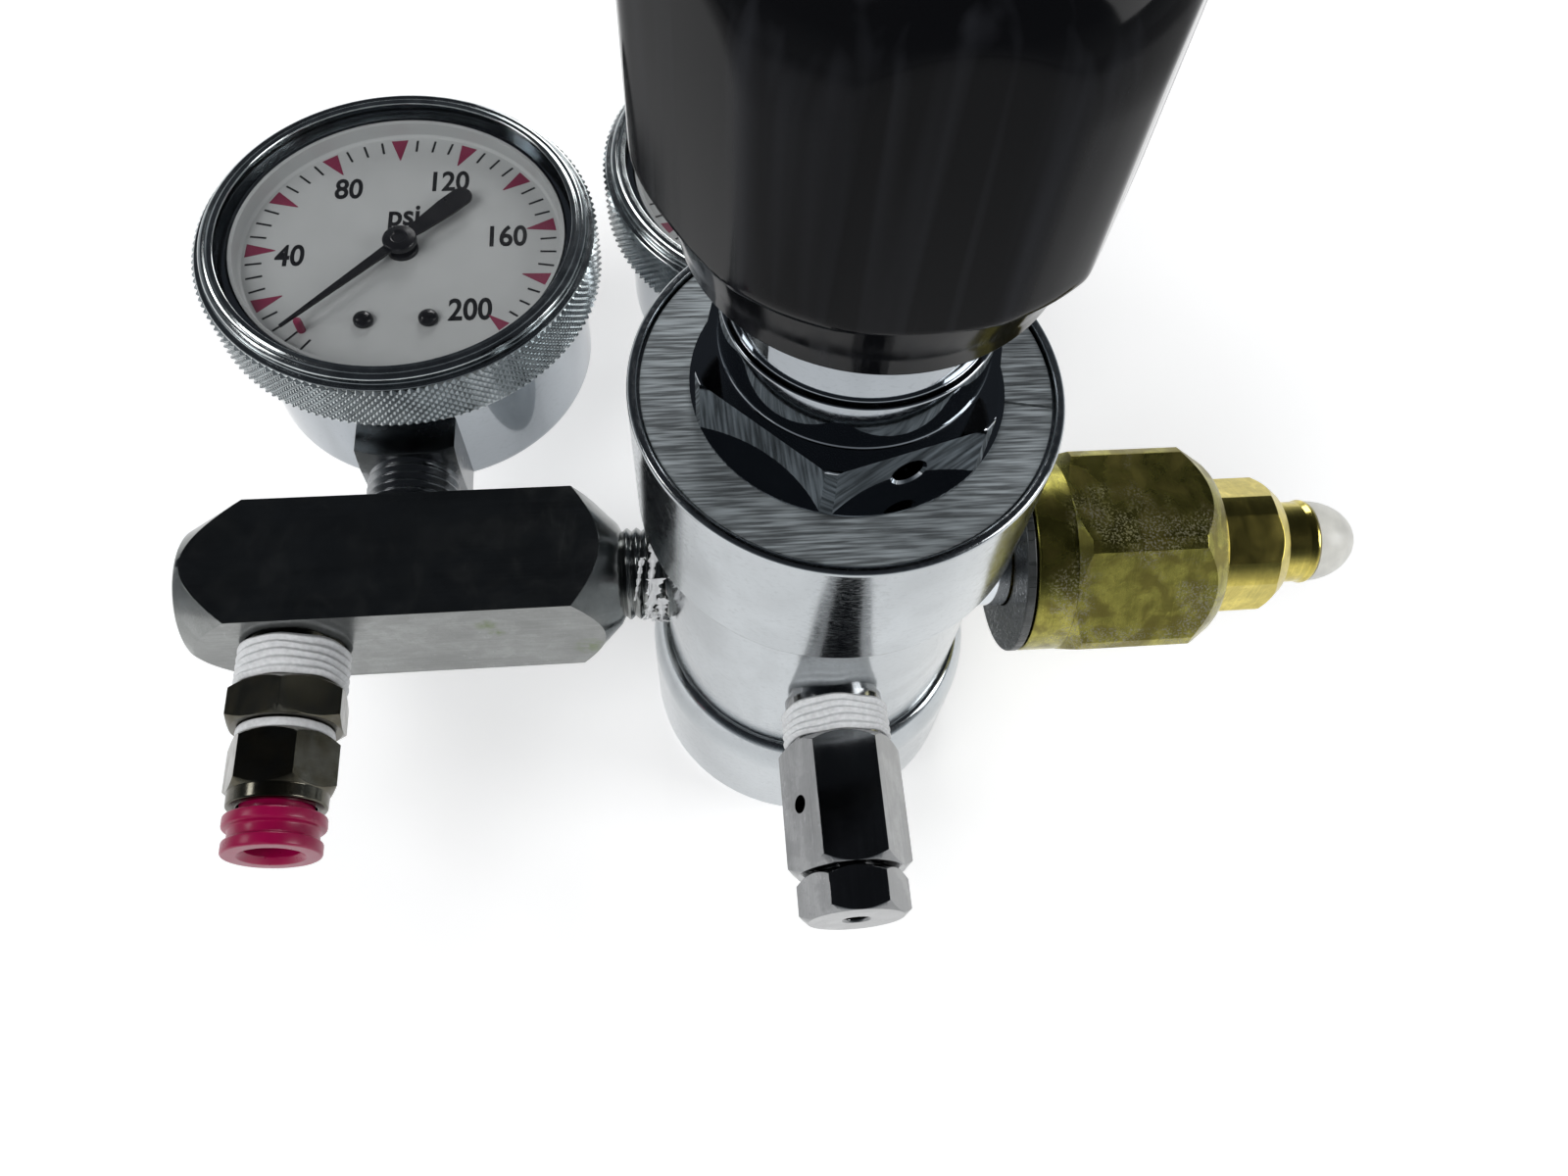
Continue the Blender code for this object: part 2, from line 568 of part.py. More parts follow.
def diaphragm_plate():
    inside = SPRING_RADIUS - SPRING_WIRE - 2 * SEAT
    top = PLATE_LOW + PLATE_THICKNESS
    outline = [(0.0, PLATE_LOW), (PLATE_RADIUS, PLATE_LOW), (PLATE_RADIUS, top), (inside, top),
               (inside - SEAT, top + SPRING_WIRE), (0.0, top + SPRING_WIRE)]
    return solid("diaphragm_plate", turned(outline), BRASS, on_axis())


def main_spring():
    shape = coil(SPRING_RADIUS, SPRING_WIRE, SPRING_LOW, SPRING_TOP, SPRING_TURNS)
    return solid("main_spring", shape, STEEL, on_axis())


def spring_button():
    inside = SPRING_RADIUS - SPRING_WIRE - 2 * SEAT
    flange_top = BUTTON_LOW + BUTTON_FLANGE
    outline = [(0.0, BUTTON_LOW - SPRING_WIRE), (inside, BUTTON_LOW - SPRING_WIRE), (inside, BUTTON_LOW),
               (PLATE_RADIUS, BUTTON_LOW), (PLATE_RADIUS, flange_top),
               (SCREW_RADIUS + BUTTON_BOSS, flange_top),
               (SCREW_RADIUS, BUTTON_TOP), (0.0, BUTTON_TOP)]
    return solid("spring_button", turned(outline), STEEL, on_axis())


def adjusting_screw():
    top = KNOB_HUB_ROOF + SCREW_IN_KNOB
    outline = [(0.0, SCREW_LOW), (SCREW_RADIUS - SCREW_CHAMFER, SCREW_LOW),
               (SCREW_RADIUS, SCREW_LOW + SCREW_CHAMFER), (SCREW_RADIUS, top), (0.0, top)]
    return solid("adjusting_screw", turned(outline, SMALL), STEEL, on_axis())


def adjusting_knob():
    socket = SCREW_RADIUS + SEAT
    recess = BONNET_NECK_RADIUS + 2 * SEAT
    socket_top = KNOB_HUB_ROOF + SCREW_IN_KNOB + SEAT
    crown = [(KNOB_RADIUS, KNOB_GRIP_TOP)]
    crown += [(KNOB_RADIUS - KNOB_CROWN_INSET * (1 - math.cos(a)),
               KNOB_GRIP_TOP + KNOB_CROWN_HEIGHT * math.sin(a))
              for a in (math.radians(t) for t in (20, 40, 60, 80))]
    outline = [(recess, KNOB_LOW), (KNOB_SKIRT_RADIUS, KNOB_LOW), (KNOB_SHOULDER_RADIUS, KNOB_SHOULDER),
               (KNOB_RADIUS, KNOB_GRIP_LOW)] + crown
    outline += [(KNOB_TOP_RADIUS, KNOB_TOP), (0.0, KNOB_TOP),
                (0.0, socket_top), (socket, socket_top), (socket, KNOB_HUB_ROOF), (recess, KNOB_HUB_ROOF)]
    return with_flats("adjusting_knob", outline, 2 * KNOB_FLAT_DISTANCE,
                      KNOB_FLAT_AZIMUTH + math.pi / KNOB_FLAT_COUNT, BLACK, on_axis(),
                      KNOB_FACETS, KNOB_FLAT_COUNT)


# Valve inside the body

NOZZLE_LOW = CHAMBER_FLOOR - NOZZLE_LENGTH
POPPET_SEAT = NOZZLE_LOW - NOZZLE_SEAT - SEAT


def seat_nozzle():
    outer = NOZZLE_BORE - SEAT
    head = NOZZLE_BORE + OVERCUT
    land = NOZZLE_HOLE + NOZZLE_SEAT
    top = CHAMBER_FLOOR + NOZZLE_HEAD
    outline = [(NOZZLE_HOLE, NOZZLE_LOW - NOZZLE_SEAT), (land, NOZZLE_LOW - NOZZLE_SEAT),
               (land + SEAT, NOZZLE_LOW), (outer, NOZZLE_LOW), (outer, CHAMBER_FLOOR + SEAT),
               (head, CHAMBER_FLOOR + SEAT), (head, top), (NOZZLE_HOLE, top)]
    return solid("seat_nozzle", turned(outline, SMALL), BRASS, on_axis())


def poppet():
    head = VALVE_BORE - 3 * SEAT
    head_low = POPPET_SEAT - POPPET_HEAD
    stem_top = DIAPHRAGM_LOW - SEAT
    outline = [(0.0, head_low - POPPET_TAIL), (VALVE_GUIDE, head_low - POPPET_TAIL), (VALVE_GUIDE, head_low),
               (head, head_low), (head, POPPET_SEAT), (POPPET_STEM, POPPET_SEAT),
               (POPPET_STEM, stem_top), (0.0, stem_top)]
    return solid("poppet", turned(outline, SMALL), BRASS, on_axis())


def valve_plug():
    low = BODY_LOW + SEAT
    top = PLUG_BORE_TOP - SEAT
    outline = [(0.0, low), (PLUG_BORE - SEAT, low), (PLUG_BORE - SEAT, top),
               (VALVE_GUIDE, top), (VALVE_GUIDE, top + PLUG_PIN), (0.0, top + PLUG_PIN)]
    return solid("valve_plug", turned(outline, SMALL), BRASS, on_axis())


def poppet_spring():
    high = POPPET_SEAT - POPPET_HEAD - SEAT
    shape = coil(POPPET_SPRING_RADIUS, POPPET_SPRING_WIRE, PLUG_BORE_TOP, high, 6, 8, 4)
    return solid("poppet_spring", shape, STEEL, on_axis())


# Manifold block

def manifold_block():
    thread_end = BODY_RADIUS - PORT_DEPTH + SEAT
    neck = BODY_RADIUS + BLOCK_NECK_SHOWING
    bar_start = neck + BLOCK_CONE_LENGTH
    bar_end = BLOCK_END_MARGIN - OUTLET_X
    end = bar_end + BLOCK_END_LENGTH
    corner = BLOCK_WIDTH / math.sqrt(2) + FACET
    outline = [(BLOCK_BORE, thread_end), (THREAD_RADIUS - THREAD_CHAMFER, thread_end),
               (THREAD_RADIUS, thread_end + THREAD_CHAMFER), (THREAD_RADIUS, neck),
               (BLOCK_NECK_RADIUS, neck), (corner, bar_start), (corner, bar_end),
               (BLOCK_END_RADIUS, end), (0.0, end), (0.0, bar_end - OVERCUT), (BLOCK_BORE, bar_end - OVERCUT)]
    item = with_flats("manifold_block", outline, BLOCK_WIDTH, math.pi / 4, NICKEL, toward_left(), SQUARE, 4)
    face = BLOCK_WIDTH / 2
    port = [(0.0, 0.0), (BLOCK_BORE, 0.0), (BLOCK_BORE, face - BLOCK_PORT_DEPTH),
            (PORT_BORE, face - BLOCK_PORT_DEPTH), (PORT_BORE, face + OVERCUT), (0.0, face + OVERCUT)]
    combine(item, turned(port), "DIFFERENCE", toward_front(OUTLET_X))
    back = toward_front(GAUGE_X) @ Matrix.Rotation(math.pi, 4, "X")
    return combine(item, turned(port), "DIFFERENCE", back)


def thread_tape(name, start, length, place):
    """Sealing tape wound on the part of a thread that shows."""
    inner = THREAD_RADIUS + FACET
    outer = inner + TAPE_THICKNESS
    low = start + SEAT
    top = start + length
    outline = [(inner, low), (outer, low), (outer, top), (inner, top)]
    return solid(name, turned(outline), WHITE, place)


# Hose outlet, along -Y from the block's front face

def hex_band(low, high, flats):
    """The outer outline of a hexagon with both ends turned to a cone."""
    corner = hex_corner(flats) + FACET
    waist = flats / 2 - FACET
    return [(waist, low), (corner, low + HEX_CHAMFER), (corner, high - HEX_CHAMFER), (waist, high)]


def outlet_place():
    return toward_front(OUTLET_X)


BUSHING_LOW = BLOCK_WIDTH / 2 + OUTLET_TAPE_LENGTH + SEAT
BUSHING_TOP = BUSHING_LOW + BUSHING_HEX
OUTLET_HEX_LOW = BUSHING_TOP + OUTLET_NECK_SHOWING
OUTLET_HEX_TOP = OUTLET_HEX_LOW + OUTLET_HEX
OUTLET_END = OUTLET_HEX_TOP + OUTLET_NOSE
COLLET_FLANGE_LOW = OUTLET_END + COLLET_TRAVEL + SEAT
COLLET_END = COLLET_FLANGE_LOW + COLLET_FLANGE + COLLET_GROOVE + COLLET_LIP
SLEEVE_BORE = COLLET_SLEEVE_RADIUS + SEAT
TUBE_STOP = OUTLET_HEX_LOW + TUBE_STOP_DEPTH
SLEEVE_FLOOR = TUBE_STOP + TUBE_GUIDE
O_RING_WIRE = (COLLET_SLEEVE_RADIUS - TUBE_BORE) / 2
O_RING_MIDDLE = SLEEVE_FLOOR + SEAT + O_RING_WIRE
GRIP_LOW = O_RING_MIDDLE + O_RING_WIRE + SEAT
GRIP_TOP = GRIP_LOW + GRIP_THICKNESS
SLEEVE_END = GRIP_TOP + COLLET_TRAVEL + SEAT


def outlet_bushing():
    start = BLOCK_WIDTH / 2 - BLOCK_PORT_DEPTH + SEAT
    socket_floor = BUSHING_TOP - BUSHING_SOCKET_DEPTH
    outline = [(GAS_DRILL, start), (THREAD_RADIUS - THREAD_CHAMFER, start),
               (THREAD_RADIUS, start + THREAD_CHAMFER), (THREAD_RADIUS, BUSHING_LOW)]
    outline += hex_band(BUSHING_LOW, BUSHING_TOP, BUSHING_FLATS)
    outline += [(BUSHING_SOCKET, BUSHING_TOP), (BUSHING_SOCKET, socket_floor), (GAS_DRILL, socket_floor)]
    return with_flats("outlet_bushing", outline, BUSHING_FLATS, BUSHING_TURN, NICKEL, outlet_place())


def outlet_body():
    thread = BUSHING_SOCKET - SEAT
    start = BUSHING_TOP - BUSHING_SOCKET_DEPTH + SEAT
    outline = [(GAS_DRILL, start), (thread, start), (thread, OUTLET_HEX_LOW)]
    outline += hex_band(OUTLET_HEX_LOW, OUTLET_HEX_TOP, OUTLET_FLATS)
    outline += [(OUTLET_NOSE_RADIUS, OUTLET_HEX_TOP), (OUTLET_NOSE_RADIUS, OUTLET_END),
                (SLEEVE_BORE, OUTLET_END), (SLEEVE_BORE, SLEEVE_FLOOR),
                (TUBE_BORE, SLEEVE_FLOOR), (TUBE_BORE, TUBE_STOP), (GAS_DRILL, TUBE_STOP)]
    return with_flats("outlet_body", outline, OUTLET_FLATS, OUTLET_HEX_TURN, NICKEL, outlet_place())


def outlet_o_ring():
    shape = turned(arc((TUBE_BORE + O_RING_WIRE, O_RING_MIDDLE), O_RING_WIRE, 0, 300, 5))
    return solid("outlet_o_ring", shape, RUBBER, outlet_place())


def grip_ring():
    inner = TUBE_BORE + FACET
    outline = [(inner, GRIP_LOW), (COLLET_SLEEVE_RADIUS, GRIP_LOW), (COLLET_SLEEVE_RADIUS, GRIP_TOP),
               (inner, GRIP_TOP)]
    return solid("grip_ring", turned(outline), STEEL, outlet_place())


def release_collet():
    inner = TUBE_BORE + FACET
    groove_low = COLLET_FLANGE_LOW + COLLET_FLANGE
    lip_low = groove_low + COLLET_GROOVE
    outline = [(inner, SLEEVE_END), (COLLET_SLEEVE_RADIUS, SLEEVE_END),
               (COLLET_SLEEVE_RADIUS, COLLET_FLANGE_LOW),
               (COLLET_FLANGE_RADIUS - SMALL_EDGE, COLLET_FLANGE_LOW),
               (COLLET_FLANGE_RADIUS, COLLET_FLANGE_LOW + SMALL_EDGE),
               (COLLET_FLANGE_RADIUS, groove_low - SMALL_EDGE),
               (COLLET_FLANGE_RADIUS - SMALL_EDGE, groove_low),
               (COLLET_GROOVE_RADIUS, groove_low + SMALL_EDGE),
               (COLLET_GROOVE_RADIUS, lip_low - SMALL_EDGE), (COLLET_LIP_RADIUS, lip_low),
               (COLLET_LIP_RADIUS, COLLET_END - SMALL_EDGE), (COLLET_LIP_RADIUS - SMALL_EDGE, COLLET_END),
               (inner, COLLET_END)]
    return solid("release_collet", turned(outline), RED, outlet_place())


# Relief valve, along -Y from the body

RELIEF_HEX_LOW = BODY_RADIUS + RELIEF_TAPE_LENGTH + 2 * SEAT
RELIEF_HEX_TOP = RELIEF_HEX_LOW + RELIEF_HEX
RELIEF_SEAT = RELIEF_HEX_LOW + RELIEF_SEAT_DEPTH
RELIEF_CAP_LOW = RELIEF_HEX_TOP + SEAT


def relief_body():
    start = BODY_RADIUS - PORT_DEPTH + SEAT
    outline = [(GAS_DRILL, start), (THREAD_RADIUS - THREAD_CHAMFER, start),
               (THREAD_RADIUS, start + THREAD_CHAMFER), (THREAD_RADIUS, RELIEF_HEX_LOW)]
    outline += hex_band(RELIEF_HEX_LOW, RELIEF_HEX_TOP, RELIEF_FLATS)
    outline += [(RELIEF_BORE, RELIEF_HEX_TOP), (RELIEF_BORE, RELIEF_SEAT), (GAS_DRILL, RELIEF_SEAT)]
    item = with_flats("relief_body", outline, RELIEF_FLATS, 0.0, NICKEL, toward_front())
    middle = (RELIEF_HEX_LOW + RELIEF_HEX_TOP) / 2
    side = toward_front() @ Matrix.Translation((0, 0, middle)) @ Matrix.Rotation(RELIEF_VENT_TURN, 4, "Z")
    side = side @ Matrix.Rotation(math.pi / 2, 4, "Y")
    vent = rod(RELIEF_VENT_RADIUS, RELIEF_BORE - OVERCUT, RELIEF_FLATS)
    return combine(item, vent, "DIFFERENCE", side)


def relief_cap():
    spigot = RELIEF_BORE - SEAT
    low = RELIEF_CAP_LOW - RELIEF_CAP_SPIGOT
    outline = [(RELIEF_CAP_HOLE, low), (spigot, low), (spigot, RELIEF_CAP_LOW)]
    outline += hex_band(RELIEF_CAP_LOW, RELIEF_CAP_LOW + RELIEF_CAP_HEX, RELIEF_CAP_FLATS)
    outline += [(RELIEF_CAP_HOLE, RELIEF_CAP_LOW + RELIEF_CAP_HEX)]
    return with_flats("relief_cap", outline, RELIEF_CAP_FLATS, 0.0, NICKEL, toward_front())


def relief_poppet():
    low = RELIEF_SEAT + SEAT
    outer = RELIEF_BORE - 2 * SEAT
    outline = [(0.0, low), (outer, low), (outer, low + RELIEF_POPPET_DISC),
               (RELIEF_POPPET_STEM, low + RELIEF_POPPET_DISC),
               (RELIEF_POPPET_STEM, low + 2 * RELIEF_POPPET_DISC),
               (0.0, low + 2 * RELIEF_POPPET_DISC)]
    return solid("relief_poppet", turned(outline, SMALL), BRASS, toward_front())


def relief_spring():
    low = RELIEF_SEAT + RELIEF_POPPET_DISC + 2 * SEAT
    high = RELIEF_CAP_LOW - RELIEF_CAP_SPIGOT - SEAT
    shape = coil(RELIEF_SPRING_RADIUS, RELIEF_SPRING_WIRE, low, high, 4, 8, 4)
    return solid("relief_spring", shape, STEEL, toward_front())


# Inlet, along +X from the body

WASHER_LOW = BODY_RADIUS + WASHER_STANDOFF
NUT_LOW = WASHER_LOW + WASHER_THICKNESS + SEAT
NUT_HEX_LOW = NUT_LOW + NUT_COLLAR
NUT_END = NUT_HEX_LOW + NUT_HEX + NUT_CONE
NIPPLE_HEX_LOW = NUT_END - NIPPLE_HEX_HIDDEN
NIPPLE_HEX_TOP = NUT_END + NIPPLE_HEX_SHOWING
NOSE_END = NIPPLE_HEX_TOP + NOSE_LENGTH + SEAT


def nut_washer():
    inner = SHANK_RADIUS + 2 * SEAT
    top = WASHER_LOW + WASHER_THICKNESS
    outline = [(inner, WASHER_LOW), (NUT_COLLAR_RADIUS - SMALL_EDGE, WASHER_LOW),
               (NUT_COLLAR_RADIUS, WASHER_LOW + SMALL_EDGE), (NUT_COLLAR_RADIUS, top), (inner, top)]
    return solid("nut_washer", turned(outline), RUBBER, toward_right())


def inlet_nut():
    corner = NUT_ROUND_RADIUS
    flat = NUT_FLATS / 2 - FACET
    inner = SHANK_RADIUS + 2 * SEAT
    ledge_top = NUT_LOW + NUT_LEDGE
    hex_top = NUT_HEX_LOW + NUT_HEX
    outline = [(inner, NUT_LOW), (NUT_COLLAR_RADIUS, NUT_LOW), (NUT_COLLAR_RADIUS, NUT_HEX_LOW - NUT_LEAD),
               (flat, NUT_HEX_LOW - NUT_LEAD), (corner, NUT_HEX_LOW + NUT_LEAD), (corner, hex_top),
               (NUT_MOUTH_RADIUS + NUT_LEAD, NUT_END - NUT_LEAD), (NUT_MOUTH_RADIUS, NUT_END),
               (NUT_THREAD_RADIUS, NUT_END), (NUT_THREAD_RADIUS, ledge_top), (inner, ledge_top)]
    return with_flats("inlet_nut", outline, NUT_FLATS, NUT_CORNER_TURN, BRASS, toward_right())


def inlet_nipple():
    start = BODY_RADIUS - PORT_DEPTH + SEAT
    hexagon = NIPPLE_ROUND_RADIUS
    waist = NIPPLE_FLATS / 2 - NIPPLE_CONE_DEPTH
    socket = TIP_SPIGOT + SEAT
    nose_low = NIPPLE_HEX_TOP + NOSE_LENGTH
    outline = [(INLET_BORE, start), (THREAD_RADIUS - THREAD_CHAMFER, start),
               (THREAD_RADIUS, start + THREAD_CHAMFER), (THREAD_RADIUS, BODY_RADIUS),
               (SHANK_RADIUS, BODY_RADIUS + SEAT), (SHANK_RADIUS, NIPPLE_HEX_LOW), (waist, NIPPLE_HEX_LOW),
               (hexagon, NIPPLE_HEX_LOW + OVERCUT), (hexagon, NIPPLE_HEX_TOP - NIPPLE_CONE),
               (waist, NIPPLE_HEX_TOP),
               (NOSE_RADIUS, NIPPLE_HEX_TOP), (NOSE_RADIUS, nose_low - OVERCUT),
               (NOSE_RADIUS + NOSE_FLARE, nose_low - SEAT), (NOSE_RADIUS + NOSE_FLARE, nose_low),
               (socket, nose_low), (socket, nose_low - TIP_OVERLAP),
               (INLET_BORE, nose_low - TIP_OVERLAP)]
    return with_flats("inlet_nipple", outline, NIPPLE_FLATS, NIPPLE_TURN, BRASS, toward_right())


def nose_tip():
    low = NOSE_END - TIP_OVERLAP
    dome = [(NOSE_RADIUS * math.cos(a), NOSE_END + TIP_LENGTH * math.sin(a))
            for a in (math.radians(t) for t in (0, 25, 48, 68))]
    outline = [(TIP_BORE, low), (TIP_SPIGOT, low), (TIP_SPIGOT, NOSE_END)] + dome
    top = NOSE_END + TIP_LENGTH
    outline += [(TIP_BORE + SEAT, top - SEAT), (TIP_BORE, top - SEAT)]
    return solid("nose_tip", turned(outline), TIP_PLASTIC, toward_right())


def inlet_filter():
    outer = INLET_BORE - SEAT
    top = BODY_RADIUS + FILTER_LENGTH
    outline = [(0.0, BODY_RADIUS), (outer, BODY_RADIUS), (outer - 2 * SEAT, top), (0.0, top)]
    return solid("inlet_filter", turned(outline, SMALL), BRASS, toward_right())


# Gauges; local +Z is the dial's axis, and the stem leaves along local -Y at height 0

def gauge_case(prefix, place):
    inner = CASE_RADIUS - CASE_WALL
    floor = CASE_WALL - CASE_BACK
    outline = [(0.0, -CASE_BACK)]
    outline += arc((CASE_RADIUS - CASE_ROUND, CASE_ROUND - CASE_BACK), CASE_ROUND, -90, 0, 2)
    outline += [(CASE_RADIUS, CASE_FRONT - CASE_THREAD_LENGTH),
                (CASE_THREAD_RADIUS, CASE_FRONT - CASE_THREAD_LENGTH),
                (CASE_THREAD_RADIUS, CASE_FRONT), (inner, CASE_FRONT), (inner, floor), (0.0, floor)]
    item = solid(prefix + "_gauge_case", turned(outline, LARGE), CHROME, place)
    half = GAUGE_STEM_FLATS / 2 + SEAT
    window = [(-half, -half), (half, -half), (half, half), (-half, half)]
    slot = extruded(window, CASE_RADIUS - CASE_SLOT_DEPTH, CASE_RADIUS + OVERCUT)
    return combine(item, slot, "DIFFERENCE", place @ Matrix.Rotation(math.pi / 2, 4, "X"))


def gauge_bezel(prefix, place):
    bore = CASE_THREAD_RADIUS + SEAT
    top = BEZEL_LOW + BEZEL_BAND + BEZEL_LIP
    band_top = BEZEL_LOW + BEZEL_BAND
    ledge = CASE_FRONT + WINDOW_THICKNESS + 2 * SEAT
    outline = [(bore, BEZEL_LOW), (BEZEL_RADIUS - SMALL_EDGE, BEZEL_LOW),
               (BEZEL_RADIUS, BEZEL_LOW + SMALL_EDGE),
               (BEZEL_RADIUS, band_top - SMALL_EDGE), (BEZEL_RADIUS - SMALL_EDGE, band_top),
               (BEZEL_LIP_RADIUS, band_top),
               (BEZEL_LIP_RADIUS - SMALL_EDGE, top), (BEZEL_OPENING + SMALL_EDGE, top),
               (BEZEL_OPENING, ledge),
               (bore, ledge)]
    return solid(prefix + "_gauge_bezel", turned(outline, LARGE), CHROME, place)


def gauge_window(prefix, place):
    low = CASE_FRONT + SEAT
    top = low + WINDOW_THICKNESS
    outline = [(0.0, low), (CASE_THREAD_RADIUS, low), (CASE_THREAD_RADIUS, top), (0.0, top)]
    return solid(prefix + "_gauge_window", turned(outline, LARGE), CLEAR, place)


def gauge_dial(prefix, place):
    outer = CASE_RADIUS - CASE_WALL - SEAT
    low = DIAL_FACE - DIAL_THICKNESS
    outline = [(DIAL_HOLE, low), (outer, low), (outer, CASE_FRONT - SEAT),
               (outer - DIAL_RIM, CASE_FRONT - SEAT),
               (outer - DIAL_RIM, DIAL_FACE), (DIAL_HOLE, DIAL_FACE)]
    item = solid(prefix + "_gauge_dial", turned(outline, LARGE), DIAL_WHITE, place)
    for side in (-1, 1):
        hole = rod(DIAL_SCREW_SHANK + SEAT, low - OVERCUT, DIAL_FACE + OVERCUT, 8)
        spot = place @ Matrix.Translation((side * DIAL_SCREW_OFFSET, -DIAL_SCREW_ALONG, 0))
        combine(item, hole, "DIFFERENCE", spot)
    angle = POINTER_REST + (STOP_PIN_RADIUS + STOP_PIN_GAP) / STOP_PIN_ALONG
    spot = place @ Matrix.Translation((STOP_PIN_ALONG * math.cos(angle), STOP_PIN_ALONG * math.sin(angle), 0))
    pin = rod(STOP_PIN_RADIUS, low + SEAT, DIAL_FACE + STOP_PIN_HEIGHT, 8)
    return combine(item, pin, "UNION", spot)


def dial_screw(prefix, side_name, side, place):
    low = GAUGE_STEM_FLATS / 2 + SEAT
    head = DIAL_FACE + SEAT
    dome = [(DIAL_SCREW_RADIUS * math.cos(a), head + SEAT + DIAL_SCREW_DOME * math.sin(a))
            for a in (0.0, 0.5, 1.0)]
    outline = [(0.0, low), (DIAL_SCREW_SHANK, low), (DIAL_SCREW_SHANK, head), (DIAL_SCREW_RADIUS, head)]
    outline += dome + [(0.0, head + SEAT + DIAL_SCREW_DOME)]
    spot = place @ Matrix.Translation((side * DIAL_SCREW_OFFSET, -DIAL_SCREW_ALONG, 0))
    return solid(f"{prefix}_dial_screw_{side_name}", turned(outline, 8), BLACK, spot)


def gauge_socket(prefix, place):
    corner = GAUGE_STEM_FLATS / math.sqrt(2) + FACET
    start = CASE_RADIUS - GAUGE_STEM_INSET
    end = GAUGE_REACH + GAUGE_THREAD_LENGTH
    outline = [(0.0, start), (corner, start), (corner, GAUGE_REACH - GAUGE_STEM_CHAMFER),
               (corner - 2 * GAUGE_STEM_CHAMFER, GAUGE_REACH),
               (THREAD_RADIUS, GAUGE_REACH), (THREAD_RADIUS, end - THREAD_CHAMFER),
               (THREAD_RADIUS - THREAD_CHAMFER, end), (GAS_DRILL, end), (GAS_DRILL, start + BOURDON_WIDTH),
               (0.0, start + BOURDON_WIDTH)]
    stem = place @ Matrix.Rotation(math.pi / 2, 4, "X")
    return with_flats(prefix + "_gauge_socket", outline, GAUGE_STEM_FLATS, math.pi / 4, CHROME, stem,
                      SQUARE, 4)


def bourdon_tube(prefix, place):
    """A flattened tube bent round to most of a circle, with closed ends."""
    bm = bmesh.new()
    ring = 8
    around = [2 * math.pi * k / ring for k in range(ring)]
    points = [bm.verts.new((BOURDON_RADIUS + BOURDON_THICKNESS * math.cos(a), 0.0,
                            BOURDON_WIDTH * math.sin(a)))
              for a in around]
    face = bm.faces.new(points)
    bmesh.ops.rotate(bm, verts=points, cent=(0, 0, 0), matrix=Matrix.Rotation(BOURDON_START, 3, "Z"))
    bmesh.ops.spin(bm, geom=[face], cent=(0, 0, 0), axis=(0, 0, 1), angle=BOURDON_SWEEP, steps=14)
    bmesh.ops.recalc_face_normals(bm, faces=bm.faces)
    return solid(prefix + "_bourdon_tube", bm, BRASS, place)


MOVEMENT_LOW = GAUGE_STEM_FLATS / 2 + SEAT
MOVEMENT_TOP = DIAL_FACE - DIAL_THICKNESS - 2 * SEAT


def gauge_movement(prefix, place):
    """Two plates on pillars that carry the pointer's arbor."""
    half = MOVEMENT_WIDTH / 2
    outline = [(-half, -MOVEMENT_FRONT), (half, -MOVEMENT_FRONT), (half, MOVEMENT_BACK),
               (-half, MOVEMENT_BACK)]
    lower = extruded(outline, MOVEMENT_LOW, MOVEMENT_LOW + MOVEMENT_PLATE)
    item = solid(prefix + "_gauge_movement", lower, BRASS, place)
    narrow = [(x, y * TOP_PLATE_SHARE) for x, y in outline]
    combine(item, extruded(narrow, MOVEMENT_TOP - MOVEMENT_PLATE, MOVEMENT_TOP), "UNION")
    for side in (-1, 1):
        pillar = rod(PILLAR_RADIUS, MOVEMENT_LOW + FACET, MOVEMENT_TOP - FACET, 8)
        combine(item, pillar, "UNION", place @ Matrix.Translation((side * PILLAR_OFFSET, 0, 0)))
    hole = rod(ARBOR_RADIUS + SEAT, MOVEMENT_LOW - OVERCUT, MOVEMENT_TOP + OVERCUT, 8)
    return combine(item, hole, "DIFFERENCE")


def gauge_arbor(prefix, place):
    low = MOVEMENT_LOW + SEAT
    pinion_low = MOVEMENT_LOW + MOVEMENT_PLATE + SEAT
    pinion_top = MOVEMENT_TOP - MOVEMENT_PLATE - SEAT
    top = DIAL_FACE + POINTER_LIFT - SEAT
    outline = [(0.0, low), (ARBOR_RADIUS, low), (ARBOR_RADIUS, pinion_low), (PINION_RADIUS, pinion_low),
               (PINION_RADIUS, pinion_top), (ARBOR_RADIUS, pinion_top), (ARBOR_RADIUS, top), (0.0, top)]
    return solid(prefix + "_gauge_arbor", turned(outline, 8), STEEL, place)


def gauge_pointer(prefix, place):
    """A needle with a rounded tail and a domed hub, drawn pointing along local +X."""
    low = DIAL_FACE + POINTER_LIFT
    top = low + POINTER_THICKNESS
    half = POINTER_TAIL_HALF
    blade = [(POINTER_LENGTH, -POINTER_TIP_HALF), (POINTER_LENGTH, POINTER_TIP_HALF),
             (0.0, POINTER_NECK_HALF),
             (-POINTER_HUB, POINTER_NECK_HALF), (-POINTER_TAIL_START, half)]
    blade += arc((half - POINTER_TAIL, 0.0), half, 90, 270, 5)
    blade += [(-POINTER_TAIL_START, -half), (-POINTER_HUB, -POINTER_NECK_HALF), (0.0, -POINTER_NECK_HALF)]
    turn = place @ Matrix.Rotation(POINTER_REST, 4, "Z")
    item = solid(prefix + "_gauge_pointer", extruded(blade, low, top), BLACK, turn)
    hub = [(0.0, low + FACET), (POINTER_HUB, low + FACET), (POINTER_HUB, top + SEAT),
           (POINTER_HUB_TOP, top + 2 * SEAT), (0.0, top + 2 * SEAT)]
    return combine(item, turned(hub, SMALL), "UNION")


